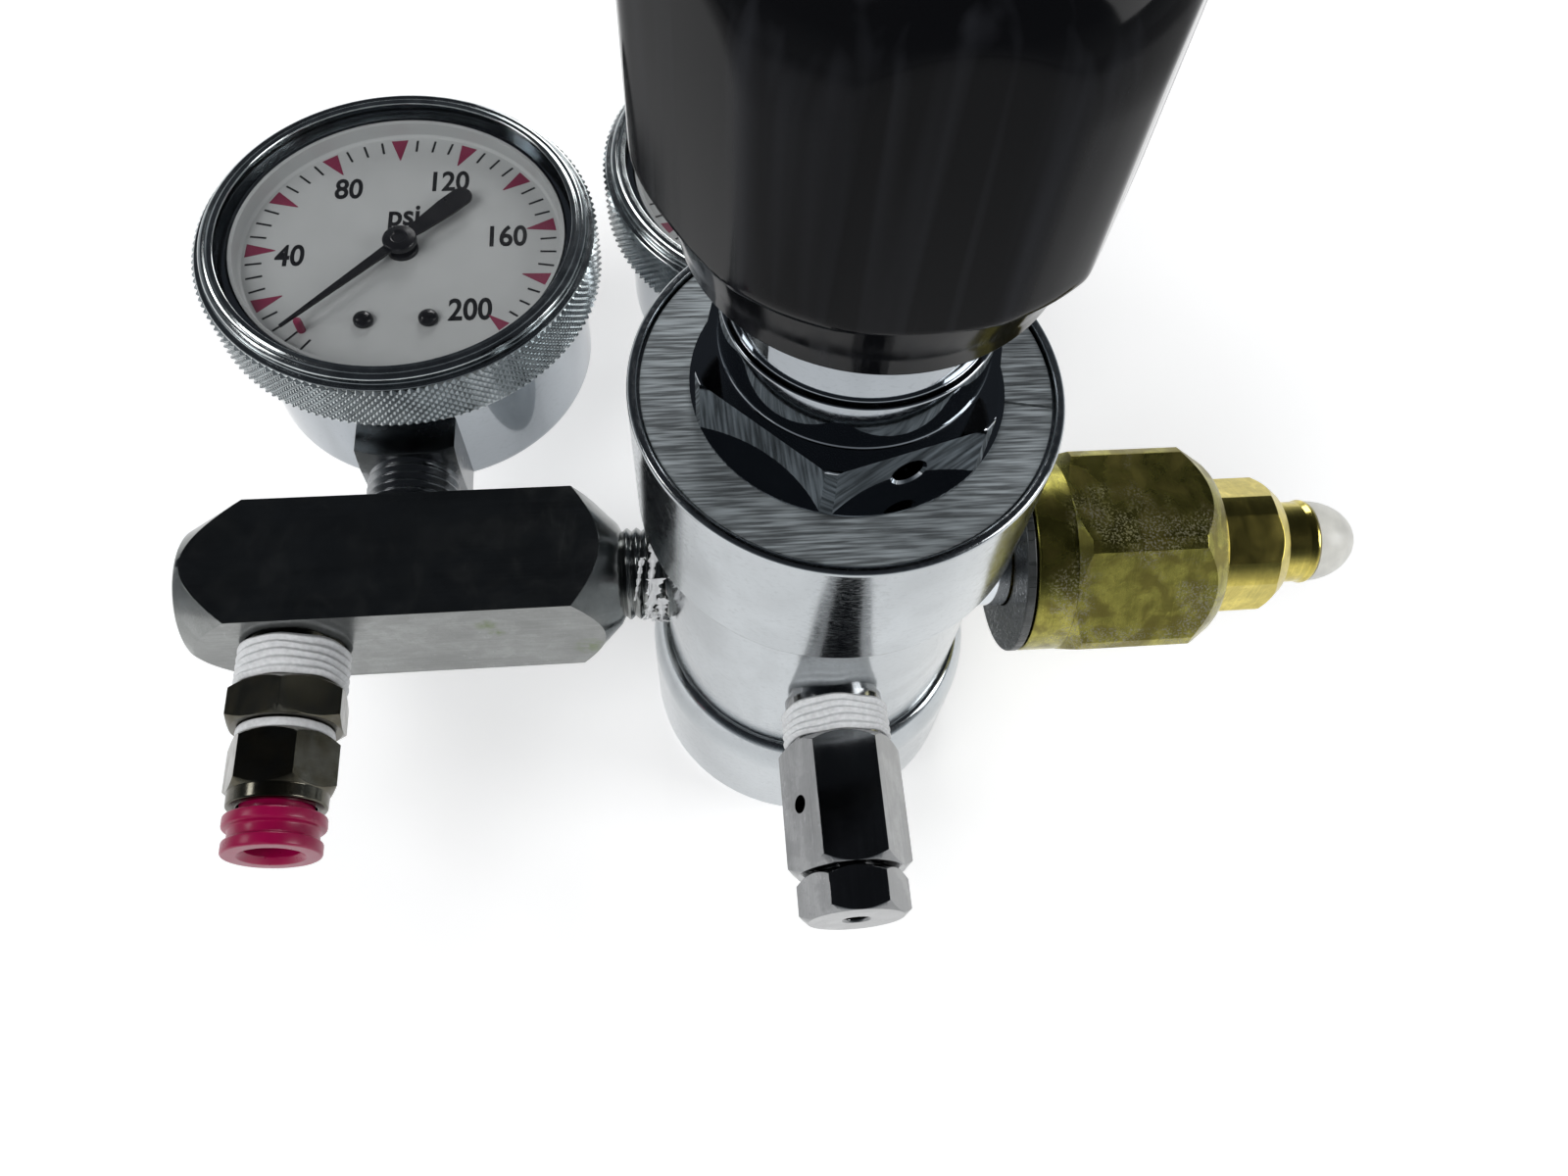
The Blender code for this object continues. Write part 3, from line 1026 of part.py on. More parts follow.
def gauge(prefix, place):
    gauge_case(prefix, place)
    gauge_bezel(prefix, place)
    gauge_window(prefix, place)
    gauge_dial(prefix, place)
    dial_screw(prefix, "left", -1, place)
    dial_screw(prefix, "right", 1, place)
    gauge_socket(prefix, place)
    bourdon_tube(prefix, place)
    gauge_movement(prefix, place)
    gauge_arbor(prefix, place)
    gauge_pointer(prefix, place)


# Assembly

def build_body():
    for piece in (base_cap, body, label_ring, bonnet, diaphragm, diaphragm_plate, main_spring,
                  spring_button, adjusting_screw, adjusting_knob, seat_nozzle, poppet, valve_plug,
                  poppet_spring):
        piece()


def build_ports():
    manifold_block()
    thread_tape("outlet_thread_tape", BLOCK_WIDTH / 2, OUTLET_TAPE_LENGTH, outlet_place())
    for piece in (outlet_bushing, outlet_body, outlet_o_ring, grip_ring, release_collet):
        piece()
    thread_tape("relief_thread_tape", BODY_RADIUS + SEAT, RELIEF_TAPE_LENGTH, toward_front())
    for piece in (relief_body, relief_cap, relief_poppet, relief_spring):
        piece()
    for piece in (nut_washer, inlet_nut, inlet_nipple, nose_tip, inlet_filter):
        piece()


def build_gauges():
    reach = GAUGE_STEM_SHOWING + GAUGE_REACH
    delivery = (GAUGE_X, BLOCK_WIDTH / 2 + reach, PORT_HEIGHT)
    contents = (0.0, BODY_RADIUS + reach, PORT_HEIGHT)
    gauge("delivery", Matrix.Translation(delivery))
    gauge("contents", Matrix.Translation(contents))


clear_scene()
build_body()
build_ports()
build_gauges()
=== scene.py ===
"""Looks of a two-gauge oxygen regulator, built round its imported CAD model.

Every piece is modelled in millimetres about its own axis, placed in the regulator's frame and
then scaled to metres. The origin is the middle of the base, +Z runs up to the adjusting knob,
+X along the inlet and -Y along the relief valve.
"""

import logging
import math
from dataclasses import dataclass, field
from enum import Enum
from typing import List, Sequence, Tuple

import bpy
from mathutils import Matrix, Vector


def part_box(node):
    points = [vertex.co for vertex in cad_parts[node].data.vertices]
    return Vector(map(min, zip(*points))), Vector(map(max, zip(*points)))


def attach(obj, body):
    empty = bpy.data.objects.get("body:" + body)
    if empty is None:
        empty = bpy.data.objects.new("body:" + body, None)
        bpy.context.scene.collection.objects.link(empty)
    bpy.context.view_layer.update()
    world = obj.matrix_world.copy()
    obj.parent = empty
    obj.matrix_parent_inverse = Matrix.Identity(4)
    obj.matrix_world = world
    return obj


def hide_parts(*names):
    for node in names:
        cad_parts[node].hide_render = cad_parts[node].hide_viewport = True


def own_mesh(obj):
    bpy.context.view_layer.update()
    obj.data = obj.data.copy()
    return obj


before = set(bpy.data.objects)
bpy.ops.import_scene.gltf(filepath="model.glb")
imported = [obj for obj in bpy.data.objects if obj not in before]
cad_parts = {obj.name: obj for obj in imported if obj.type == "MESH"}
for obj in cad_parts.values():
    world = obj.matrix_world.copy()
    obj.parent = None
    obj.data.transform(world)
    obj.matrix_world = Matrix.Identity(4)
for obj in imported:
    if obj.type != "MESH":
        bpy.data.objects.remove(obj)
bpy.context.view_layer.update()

LOG = logging.getLogger("regulator")

# One millimetre in metres. The object's own lengths are all in millimetres
MM = 0.001
# The axis of every port above the base
PORT_HEIGHT = 40.1
# The pipe thread of the fittings
THREAD_RADIUS = 6.7
THREAD_PITCH = 1.41
THREAD_DEPTH = 0.55
# The hexagon bars that the small fittings are milled from
LARGE_FLATS = 14.29
SMALL_FLATS = 12.7
# How far those bars are turned down at their faces and over their corners
LARGE_FACE = 7.05
LARGE_CORNER = 8.35
SMALL_FACE = 6.25
SMALL_CORNER = 7.43
# The gas passage through the small fittings
PASSAGE = 1.6
# Points of a mesh that are closer than this are one
WELD = 1e-4
# Where most values of a noise lie
NOISE_LOW = 0.3
NOISE_HIGH = 0.7

Piece = bpy.types.Object
Socket = bpy.types.NodeSocket
Colour = Tuple[float, float, float]
Corner = Tuple[float, ...]


# Places

class Heading(Enum):
    """Ways that a piece's own axis can point from the regulator's main axis."""

    UP = "up"
    RIGHT = "right"
    LEFT = "left"
    FRONT = "front"

    def place(self, x: float = 0.0) -> Matrix:
        """Gives where a piece's own origin and axis go.

        Args:
            x: how far to the right of the main axis the piece's axis starts, in millimetres.

        Returns:
            A matrix in millimetres that turns local +Z to this heading.
        """
        turns = {
            Heading.UP: Matrix.Identity(4),
            Heading.RIGHT: Matrix.Rotation(math.pi / 2, 4, "Y"),
            Heading.LEFT: Matrix.Rotation(-math.pi / 2, 4, "Y"),
            Heading.FRONT: Matrix.Rotation(math.pi / 2, 4, "X"),
        }
        height = 0.0 if self is Heading.UP else PORT_HEIGHT
        return Matrix.Translation((x, 0.0, height)) @ turns[self]


# Bench work: the operations that shape a mesh

def let_go() -> None:
    """Leaves edit mode and deselects every object."""
    if bpy.context.object and bpy.context.object.mode != "OBJECT":
        bpy.ops.object.mode_set(mode="OBJECT")
    bpy.ops.object.select_all(action="DESELECT")


def take(piece: Piece) -> None:
    """Selects one object alone and makes it active.

    Args:
        piece: the object.
    """
    let_go()
    piece.select_set(True)
    bpy.context.view_layer.objects.active = piece


def edit(piece: Piece) -> None:
    """Takes a piece into edit mode with all of it selected.

    Args:
        piece: the mesh.
    """
    take(piece)
    bpy.ops.object.mode_set(mode="EDIT")
    bpy.ops.mesh.select_all(action="SELECT")


def rounded(corners: Sequence[Corner], segments: int = 4) -> List[Tuple[float, float]]:
    """Rounds the corners of an outline.

    Args:
        corners: (across, along) or (across, along, radius) in millimetres; no radius means sharp.
        segments: how many steps each rounded corner takes.

    Returns:
        The outline's points.
    """
    points: List[Tuple[float, float]] = []
    for index, corner in enumerate(corners):
        here = Vector(corner[:2])
        if len(corner) < 3 or index in (0, len(corners) - 1):
            points.append((here.x, here.y))
            continue
        before = Vector(corners[index - 1][:2]) - here
        after = Vector(corners[index + 1][:2]) - here
        half = before.angle(after) / 2
        room = min(before.length, after.length) * 0.49
        reach = min(corner[2] / math.tan(half), room)
        radius = reach * math.tan(half)
        first, last = before.normalized(), after.normalized()
        middle = here + (first + last).normalized() * (radius / math.sin(half))
        start = here + first * reach - middle
        sweep = start.angle_signed(here + last * reach - middle)
        for step in range(segments + 1):
            turn = -sweep * step / segments
            spoke = Matrix.Rotation(turn, 2) @ start
            points.append((middle.x + spoke.x, middle.y + spoke.y))
    return points


def bow(centre: Corner, across: float, along: float, start: float, end: float, steps: int) -> List[Corner]:
    """Gives points on an ellipse of an outline.

    Args:
        centre: the ellipse's middle, (across, along).
        across: its half width.
        along: its half height.
        start: the first point's angle, in degrees.
        end: the last point's angle.
        steps: how many steps lie between them.

    Returns:
        The points, both ends included.
    """
    angles = [math.radians(start + (end - start) * k / steps) for k in range(steps + 1)]
    return [(centre[0] + across * math.cos(a), centre[1] + along * math.sin(a)) for a in angles]


def wire(name: str, outline: Sequence[Tuple[float, float]]) -> Piece:
    """Draws an outline in the XZ plane, and leaves it in edit mode.

    Args:
        name: the piece's name.
        outline: its (across, along) points.

    Returns:
        The object, a chain of edges.
    """
    let_go()
    bpy.ops.mesh.primitive_plane_add(size=1.0)
    piece = bpy.context.object
    piece.name = name
    edit(piece)
    bpy.ops.mesh.merge(type="CENTER")
    bpy.ops.transform.translate(value=(outline[0][0], 0, outline[0][1]))
    for (across, along), (to_across, to_along) in zip(outline, outline[1:]):
        step = (to_across - across, 0, to_along - along)
        bpy.ops.mesh.extrude_vertices_move(TRANSFORM_OT_translate={"value": step})
    return piece


def turn(name: str, corners: Sequence[Corner], steps: int = 128, segments: int = 4,
         closed: bool = False) -> Piece:
    """Turns a piece as on a lathe: draws its outline and spins it about Z.

    Args:
        name: the piece's name.
        corners: (radius, height) or (radius, height, rounding) of the outline.
        steps: how many steps the spin takes.
        segments: how many steps each rounded corner takes.
        closed: whether the outline's end is joined to its start, as on a ring.

    Returns:
        The turned mesh, its faces pointing out.
    """
    outline = rounded(list(corners) + ([corners[0][:2]] if closed else []), segments)
    piece = wire(name, outline)
    bpy.ops.mesh.select_all(action="SELECT")
    bpy.ops.mesh.spin(steps=steps, angle=2 * math.pi, center=(0, 0, 0), axis=(0, 0, 1))
    bpy.ops.mesh.select_all(action="SELECT")
    bpy.ops.mesh.remove_doubles(threshold=WELD)
    bpy.ops.mesh.normals_make_consistent(inside=False)
    let_go()
    return piece


def mill(piece: Piece, across_flats: float, count: int, corner_turn: float) -> Piece:
    """Mills flats round a turned piece.

    Args:
        piece: the turned piece.
        across_flats: the distance from a flat to the opposite one.
        count: how many flats there are.
        corner_turn: the angle of one corner about the piece's axis, in degrees.

    Returns:
        The same piece.
    """
    edit(piece)
    for index in range(count):
        angle = math.radians(corner_turn) + math.pi * (2 * index + 1) / count
        out = Vector((math.cos(angle), math.sin(angle), 0.0))
        bpy.ops.mesh.select_all(action="SELECT")
        bpy.ops.mesh.bisect(plane_co=out * (across_flats / 2), plane_no=out, use_fill=True, clear_outer=True)
    let_go()
    return piece


def mill_band(piece: Piece, across_flats: float, count: int, corner_turn: float,
              low: float, high: float) -> Piece:
    """Mills flats round a turned piece between two heights, and leaves the rest round.

    Args:
        piece: the turned piece.
        across_flats: the distance from a flat to the opposite one.
        count: how many flats there are.
        corner_turn: the angle of one corner about the piece's axis, in degrees.
        low: where the flats start.
        high: where they end.

    Returns:
        The same piece.
    """
    wide, reach = across_flats, across_flats * 0.9
    bar = turn("bar", [(0, low - 1), (wide, low - 1), (wide, high + 1), (0, high + 1)], 96)
    waste = turn("waste", [(0, low), (reach, low), (reach, high), (0, high)], 96)
    return cut(piece, cut(waste, mill(bar, across_flats, count, corner_turn)))


def soft_flats(piece: Piece, reach: float, count: int, flat_turn: float, softness: float) -> None:
    """Presses flats into a moulded piece, with rounded edges where they meet the round.

    Args:
        piece: the turned piece.
        reach: the distance from the axis to a flat.
        count: how many flats there are.
        flat_turn: the angle of one flat's middle, in degrees.
        softness: the width over which an edge is rounded.
    """
    pitch = 2 * math.pi / count
    for vertex in piece.data.vertices:
        radius = math.hypot(vertex.co.x, vertex.co.y)
        if radius < reach * 0.6:
            continue
        angle = math.atan2(vertex.co.y, vertex.co.x) - math.radians(flat_turn)
        offset = (angle + pitch / 2) % pitch - pitch / 2
        limit = reach / math.cos(offset)
        blend = max(0.0, min(1.0, 0.5 + 0.5 * (limit - radius) / softness))
        pressed = limit + (radius - limit) * blend - softness * blend * (1 - blend)
        vertex.co.x *= pressed / radius
        vertex.co.y *= pressed / radius


def cut(piece: Piece, tool: Piece) -> Piece:
    """Cuts a piece with a tool and removes the tool.

    Args:
        piece: what is cut.
        tool: the closed mesh that cuts it.

    Returns:
        The same piece.
    """
    take(piece)
    modifier = piece.modifiers.new("cut", "BOOLEAN")
    modifier.operation = "DIFFERENCE"
    modifier.solver = "EXACT"
    modifier.object = tool
    bpy.ops.object.modifier_apply(modifier=modifier.name)
    bpy.data.objects.remove(tool, do_unlink=True)
    return piece


def drill(piece: Piece, radius: float, start: float, end: float, place: Matrix) -> Piece:
    """Drills a round hole.

    Args:
        piece: what is drilled.
        radius: the hole's radius.
        start: where it starts along the drill's axis.
        end: where it ends.
        place: what turns local Z to the drill's axis.

    Returns:
        The same piece.
    """
    tool = turn("drill", [(0, start), (radius, start), (radius, end), (0, end)], steps=48)
    tool.matrix_world = place
    return cut(piece, tool)


def soften(piece: Piece, width: float, segments: int = 2, angle: float = 25.0) -> Piece:
    """Breaks the sharp edges of a piece.

    Args:
        piece: the piece, in millimetres.
        width: how wide the broken edge is.
        segments: how many steps round it off.
        angle: the edges that turn by more than this, in degrees, are broken.

    Returns:
        The same piece.
    """
    take(piece)
    bevel = piece.modifiers.new("soften", "BEVEL")
    bevel.width = width
    bevel.segments = segments
    bevel.limit_method = "ANGLE"
    bevel.angle_limit = math.radians(angle)
    bpy.ops.object.modifier_apply(modifier=bevel.name)
    return piece


def join(pieces: Sequence[Piece], name: str) -> Piece:
    """Joins meshes into one object.

    Args:
        pieces: the meshes.
        name: the name of the whole.

    Returns:
        The first mesh, with the others in it.
    """
    let_go()
    for piece in pieces:
        piece.select_set(True)
    bpy.context.view_layer.objects.active = pieces[0]
    bpy.ops.object.join()
    pieces[0].name = name
    return pieces[0]


def settle(piece: Piece, place: Matrix, crease: float = 35.0) -> Piece:
    """Puts a finished mesh in its place, in metres, and shades it.

    Args:
        piece: the mesh, in millimetres about its own axis.
        place: where it goes, in millimetres.
        crease: the angle in degrees past which an edge stays sharp.

    Returns:
        The same piece, its object at the origin.
    """
    take(piece)
    piece.matrix_world = Matrix.Scale(MM, 4) @ place @ piece.matrix_world
    bpy.ops.object.transform_apply(location=True, rotation=True, scale=True)
    bpy.ops.object.shade_smooth_by_angle(angle=math.radians(crease))
    weigh = piece.modifiers.new("weigh", "WEIGHTED_NORMAL")
    weigh.keep_sharp = True
    bpy.ops.object.modifier_apply(modifier=weigh.name)
    return piece


# Finishes

class Sheet:
    """The node tree of one material, with short ways to add to it."""

    def __init__(self, name: str) -> None:
        """Starts a material with a Principled shader.

        Args:
            name: the material's name.
        """
        self.material = bpy.data.materials.new(name)
        self.material.use_nodes = True
        self.tree = self.material.node_tree
        self.shader = self.tree.nodes["Principled BSDF"]

    def add(self, kind: str, **sockets: object) -> bpy.types.Node:
        """Adds a node and sets its properties or input sockets by name.

        Args:
            kind: the node's type.
            sockets: property names or input names, with _ for a blank, and their values.

        Returns:
            The new node.
        """
        node = self.tree.nodes.new(kind)
        for key, value in sockets.items():
            name = key.replace("_", " ")
            if name in node.inputs:
                node.inputs[name].default_value = value
            else:
                setattr(node, key, value)
        return node

    def link(self, source: Socket, target: Socket) -> None:
        """Joins two sockets."""
        self.tree.links.new(source, target)

    def spots(self, scale: Tuple[float, float, float], detail: float = 3.0, turned: float = 0.0,
              swirl: float = 0.0) -> bpy.types.Node:
        """Gives a noise in the piece's own coordinates.

        Args:
            scale: repeats per metre along each axis.
            detail: how many finer layers it has.
            turned: the pattern's turn about Z, in degrees.
            swirl: how far the pattern is stirred.

        Returns:
            The noise node.
        """
        place = self.add("ShaderNodeTexCoord")
        mapping = self.add("ShaderNodeMapping", vector_type="TEXTURE" if turned else "POINT")
        if turned:
            mapping.inputs["Rotation"].default_value = (0, 0, math.radians(turned))
            mapping.inputs["Scale"].default_value = tuple(1.0 / s for s in scale)
        else:
            mapping.inputs["Scale"].default_value = scale
        noise = self.add("ShaderNodeTexNoise", Scale=1.0, Detail=detail, Distortion=swirl)
        self.link(place.outputs["Object"], mapping.inputs["Vector"])
        self.link(mapping.outputs["Vector"], noise.inputs["Vector"])
        return noise

    def ramp(self, source: Socket, low: float, high: float,
             first: float = 0.0, last: float = 1.0) -> Socket:
        """Spreads a value over a new range, held at both ends.

        Args:
            source: the value.
            low: what becomes first.
            high: what becomes last.
            first: the lower end's new value.
            last: the upper end's new value.

        Returns:
            The new value's socket.
        """
        node = self.add("ShaderNodeMapRange")
        node.inputs["From Min"].default_value = low
        node.inputs["From Max"].default_value = high
        node.inputs["To Min"].default_value = first
        node.inputs["To Max"].default_value = last
        self.link(source, node.inputs["Value"])
        return node.outputs["Result"]

    def mix(self, share: Socket, first: object, second: object) -> Socket:
        """Mixes two colours.

        Args:
            share: how much of the second there is, from 0 to 1.
            first: a colour or a socket.
            second: a colour or a socket.

        Returns:
            The mixed colour's socket.
        """
        node = self.add("ShaderNodeMix", data_type="RGBA")
        self.link(share, node.inputs["Factor"])
        for colour, socket in ((first, node.inputs["A"]), (second, node.inputs["B"])):
            if isinstance(colour, tuple):
                socket.default_value = (*colour, 1.0)
            else:
                self.link(colour, socket)
        return node.outputs["Result"]

    def near(self, spot: Corner, radius: float) -> Socket:
        """Marks a ragged spot.

        Args:
            spot: its middle in the regulator's frame, in millimetres.
            radius: how far it reaches, in millimetres.

        Returns:
            A share, 1 at the middle and 0 past the radius.
        """
        place = self.add("ShaderNodeTexCoord")
        length = self.add("ShaderNodeVectorMath", operation="DISTANCE")
        length.inputs[1].default_value = tuple(value * MM for value in spot)
        self.link(place.outputs["Object"], length.inputs[0])
        ragged = self.add("ShaderNodeMath", operation="MULTIPLY")
        self.link(self.ramp(length.outputs["Value"], 0.0, radius * MM, 1.0, 0.0), ragged.inputs[0])
        grit = self.spots((900.0, 900.0, 900.0)).outputs["Fac"]
        self.link(self.ramp(grit, 0.35, 0.6), ragged.inputs[1])
        return ragged.outputs["Value"]

    def bump(self, height: Socket, strength: float, distance: float) -> None:
        """Raises the surface.

        Args:
            height: the pattern, from 0 to 1.
            strength: how much of it shows.
            distance: how far 1 rises, in metres.
        """
        node = self.add("ShaderNodeBump", Strength=strength, Distance=distance)
        self.link(height, node.inputs["Height"])
        self.link(node.outputs["Normal"], self.shader.inputs["Normal"])


@dataclass(frozen=True)
class Finish:
    """A plain finish with a little variation, the base of the others."""

    name: str
    slot: str
    colour: Colour
    metallic: float = 0.0
    roughness: float = 0.4
    grain: Tuple[float, float, float] = (300.0, 300.0, 300.0)
    variation: float = 0.06
    relief: float = 0.0
    gloss: float = 0.5

    def shade(self, share: float) -> Colour:
        """Gives the finish's colour made darker or lighter by a share."""
        return tuple(min(1.0, value * (1 + share)) for value in self.colour)

    def dress(self, sheet: Sheet) -> None:
        """Adds the finish's own nodes; the plain finish only varies tone and gloss.

        Args:
            sheet: the material's nodes.
        """
        value = sheet.spots(self.grain).outputs["Fac"]
        dark = self.shade(-2.5 * self.variation)
        tone = sheet.mix(sheet.ramp(value, NOISE_LOW, NOISE_HIGH), dark, self.colour)
        sheet.link(tone, sheet.shader.inputs["Base Color"])
        low, high = self.roughness * (1 - self.variation * 2), self.roughness * (1 + self.variation * 2)
        sheet.link(sheet.ramp(value, NOISE_LOW, NOISE_HIGH, low, high), sheet.shader.inputs["Roughness"])
        if self.relief:
            sheet.bump(value, 0.4, self.relief * MM)

    def material(self) -> bpy.types.Material:
        """Makes the material once and gives it again after that.

        Returns:
            The material.
        """
        label = f"{self.name}_finish"
        found = bpy.data.materials.get(label)
        if found:
            return found
        sheet = Sheet(label)
        sheet.shader.inputs["Metallic"].default_value = self.metallic
        sheet.shader.inputs["Specular IOR Level"].default_value = self.gloss
        self.dress(sheet)
        return sheet.material


@dataclass(frozen=True)
class Lined(Finish):
    """A metal with fine lines of brushing or turning, and scattered scratches."""

    lines: Tuple[float, float, float] = (200.0, 9000.0, 9000.0)
    line_share: float = 0.5
    line_tone: float = 0.5
    scratches: float = 0.0
    scratch_turns: Tuple[Tuple[float, float], ...] = ((24.0, 1.0), (-51.0, 1.4), (80.0, 0.8))

    def tone(self, sheet: Sheet, lines: Socket) -> Socket:
        """Gives the metal's colour with its lines and scratches.

        Args:
            sheet: the material's nodes.
            lines: the pattern of its lines.

        Returns:
            The colour's socket.
        """
        broad = sheet.spots(self.grain, 4.0).outputs["Fac"]
        tone = sheet.mix(sheet.ramp(broad, 0.35, 0.65), self.shade(-3 * self.variation), self.colour)
        bright = self.shade(self.line_tone)
        tone = sheet.mix(sheet.ramp(lines, 0.40, 0.70, 0.0, self.line_share), tone, bright)
        if self.scratches:
            for turned, fineness in self.scratch_turns:
                mark = sheet.spots((110.0, 3600.0 * fineness, 1500.0), 1.0, turned).outputs["Fac"]
                tone = sheet.mix(sheet.ramp(mark, 0.71, 0.75, 0.0, self.scratches), tone, bright)
        return tone

    def dress(self, sheet: Sheet) -> None:
        """Adds the lines to tone, gloss and relief, and scratches where there are any.

        Args:
            sheet: the material's nodes.
        """
        lines = sheet.spots(self.lines, 2.0).outputs["Fac"]
        sheet.link(self.tone(sheet, lines), sheet.shader.inputs["Base Color"])
        low, high = self.roughness * (1 - self.variation * 3), self.roughness * (1 + self.variation * 3)
        sheet.link(sheet.ramp(lines, NOISE_LOW, NOISE_HIGH, low, high), sheet.shader.inputs["Roughness"])
        if self.relief:
            sheet.bump(lines, 0.5, self.relief * MM)


@dataclass(frozen=True)
class Swirled(Finish):
    """A polished metal with the fine swirls of buffing and a few cloudy patches."""

    swirl_grain: Tuple[float, float, float] = (420.0, 420.0, 900.0)
    swirl_share: float = 0.35
    swirl_tone: float = -0.25

    def dress(self, sheet: Sheet) -> None:
        """Adds the swirls to tone and gloss, and a faint waviness to the surface.

        Args:
            sheet: the material's nodes.
        """
        swirls = sheet.spots(self.swirl_grain, detail=4.0, swirl=4.0).outputs["Fac"]
        clouds = sheet.spots(self.grain, detail=2.0, swirl=1.0).outputs["Fac"]
        tone = sheet.mix(sheet.ramp(clouds, 0.35, 0.70), self.colour, self.shade(-self.variation * 2))
        share = sheet.ramp(swirls, 0.55, 0.66, 0.0, self.swirl_share)
        tone = sheet.mix(share, tone, self.shade(self.swirl_tone))
        sheet.link(tone, sheet.shader.inputs["Base Color"])
        rough = sheet.ramp(swirls, 0.40, 0.66, self.roughness * 0.75, self.roughness * 1.5)
        sheet.link(rough, sheet.shader.inputs["Roughness"])
        sheet.bump(clouds, 0.25, self.relief * MM)


@dataclass(frozen=True)
class Weathered(Lined):
    """A worn metal: its lines, patches of a second tone, pale frosting and local stains."""

    patch: Colour = (0.1, 0.1, 0.1)
    patch_share: float = 0.6
    patch_grain: Tuple[float, float, float] = (260.0, 200.0, 260.0)
    speckle_grain: Tuple[float, float, float] = (1700.0, 1700.0, 1700.0)
    speckle_share: float = 0.30
    frost: float = 0.0
    frost_tone: Colour = (0.30, 0.29, 0.25)
    frost_grain: Tuple[float, float, float] = (3400.0, 3400.0, 3400.0)
    drift_grain: Tuple[float, float, float] = (150.0, 110.0, 150.0)
    stain: Colour = (0.1, 0.2, 0.1)
    stains: Tuple[Corner, ...] = ()

    def dress(self, sheet: Sheet) -> None:
        """Adds patches, frosting and stains over the lined metal.

        Args:
            sheet: the material's nodes.
        """
        lines = sheet.spots(self.lines, 2.0).outputs["Fac"]
        tone = self.tone(sheet, lines)
        patches = sheet.spots(self.patch_grain, detail=6.0, swirl=0.6).outputs["Fac"]
        tone = sheet.mix(sheet.ramp(patches, 0.45, 0.56, 0.0, self.patch_share), tone, self.patch)
        speckle = sheet.spots(self.speckle_grain, 3.0).outputs["Fac"]
        tone = sheet.mix(sheet.ramp(speckle, 0.56, 0.64, 0.0, self.speckle_share), tone, self.patch)
        rough = sheet.ramp(patches, 0.40, 0.65, self.roughness * 0.8, self.roughness * 1.35)
        if self.frost:
            veil = sheet.add("ShaderNodeMath", operation="MULTIPLY")
            drift = sheet.spots(self.drift_grain, 3.0).outputs["Fac"]
            crystals = sheet.spots(self.frost_grain, 4.0).outputs["Fac"]
            sheet.link(sheet.ramp(crystals, 0.50, 0.60), veil.inputs[0])
            sheet.link(sheet.ramp(drift, 0.50, 0.60, 0.0, self.frost), veil.inputs[1])
            tone = sheet.mix(veil.outputs["Value"], tone, self.frost_tone)
            bare = sheet.ramp(veil.outputs["Value"], 0.0, 1.0, self.metallic, 0.0)
            sheet.link(bare, sheet.shader.inputs["Metallic"])
        for spot in self.stains:
            tone = sheet.mix(sheet.near(spot[:3], spot[3]), tone, self.stain)
        sheet.link(tone, sheet.shader.inputs["Base Color"])
        sheet.link(rough, sheet.shader.inputs["Roughness"])
        if self.relief:
            sheet.bump(patches, 0.5, self.relief * MM)


@dataclass(frozen=True)
class Moulded(Finish):
    """A glossy moulding with soft upright streaks of painted sheen."""

    sheen_streak_grain: Tuple[float, float, float] = (330.0, 330.0, 9.0)

    def dress(self, sheet: Sheet) -> None:
        """Adds the streaks to gloss and a faint waviness, and paints them into the tone as lighter sheen.

        Args:
            sheet: the material's nodes.
        """
        streaks = sheet.spots(self.sheen_streak_grain, detail=2.0, swirl=0.3).outputs["Fac"]
        # Painted sheen: the streaks lighten the black as if it mirrored soft upright light
        tone = sheet.mix(sheet.ramp(streaks, 0.50, 0.72), self.colour, self.shade(self.variation * 10))
        sheet.link(tone, sheet.shader.inputs["Base Color"])
        low, high = self.roughness * 0.7, self.roughness * 1.8
        sheet.link(sheet.ramp(streaks, 0.35, 0.70, low, high), sheet.shader.inputs["Roughness"])
        sheet.bump(streaks, 0.3, self.relief * MM)


@dataclass(frozen=True)
class Clear(Finish):
    """A clear window that lets the dial show and mirrors a little."""

    share: float = 0.05

    def dress(self, sheet: Sheet) -> None:
        """Makes the surface show by a small share, with faint wiping marks.

        Args:
            sheet: the material's nodes.
        """
        sheet.shader.inputs["Alpha"].default_value = self.share
        sheet.shader.inputs["Base Color"].default_value = (*self.colour, 1.0)
        marks = sheet.spots(self.grain).outputs["Fac"]
        sheet.link(sheet.ramp(marks, 0.4, 0.7, 0.02, self.roughness), sheet.shader.inputs["Roughness"])


# Painted shade: a darker copy of the mirror chrome, which stands in for the dark surroundings the drums and
# bonnet mirror
SHADED_CHROME = Swirled("shaded_chrome", "chrome_plate", (0.40, 0.43, 0.46), metallic=1.0, roughness=0.05,
                      grain=(60.0, 60.0, 40.0), variation=0.10, relief=0.01)
CHROME = Finish("mirror_chrome", "chrome_plate", (0.72, 0.76, 0.80), metallic=1.0, roughness=0.05,
                grain=(60.0, 60.0, 40.0), variation=0.05)
BUFFED = Swirled("buffed_chrome", "chrome_plate", (0.52, 0.55, 0.57), metallic=1.0, roughness=0.16,
                 grain=(70.0, 70.0, 55.0), variation=0.08, relief=0.02)
KNURLED = Finish("knurled_chrome", "knurled_chrome", (0.62, 0.66, 0.67), metallic=1.0, roughness=0.16,
                 grain=(500.0, 500.0, 500.0), variation=0.1)
BRUSHED = Lined("brushed_plate", "brushed_plate", (0.19, 0.21, 0.22), metallic=0.45, roughness=0.40,
                grain=(160.0, 160.0, 160.0), variation=0.12, relief=0.015, lines=(170.0, 3000.0, 3000.0),
                line_share=1.0, line_tone=1.6)
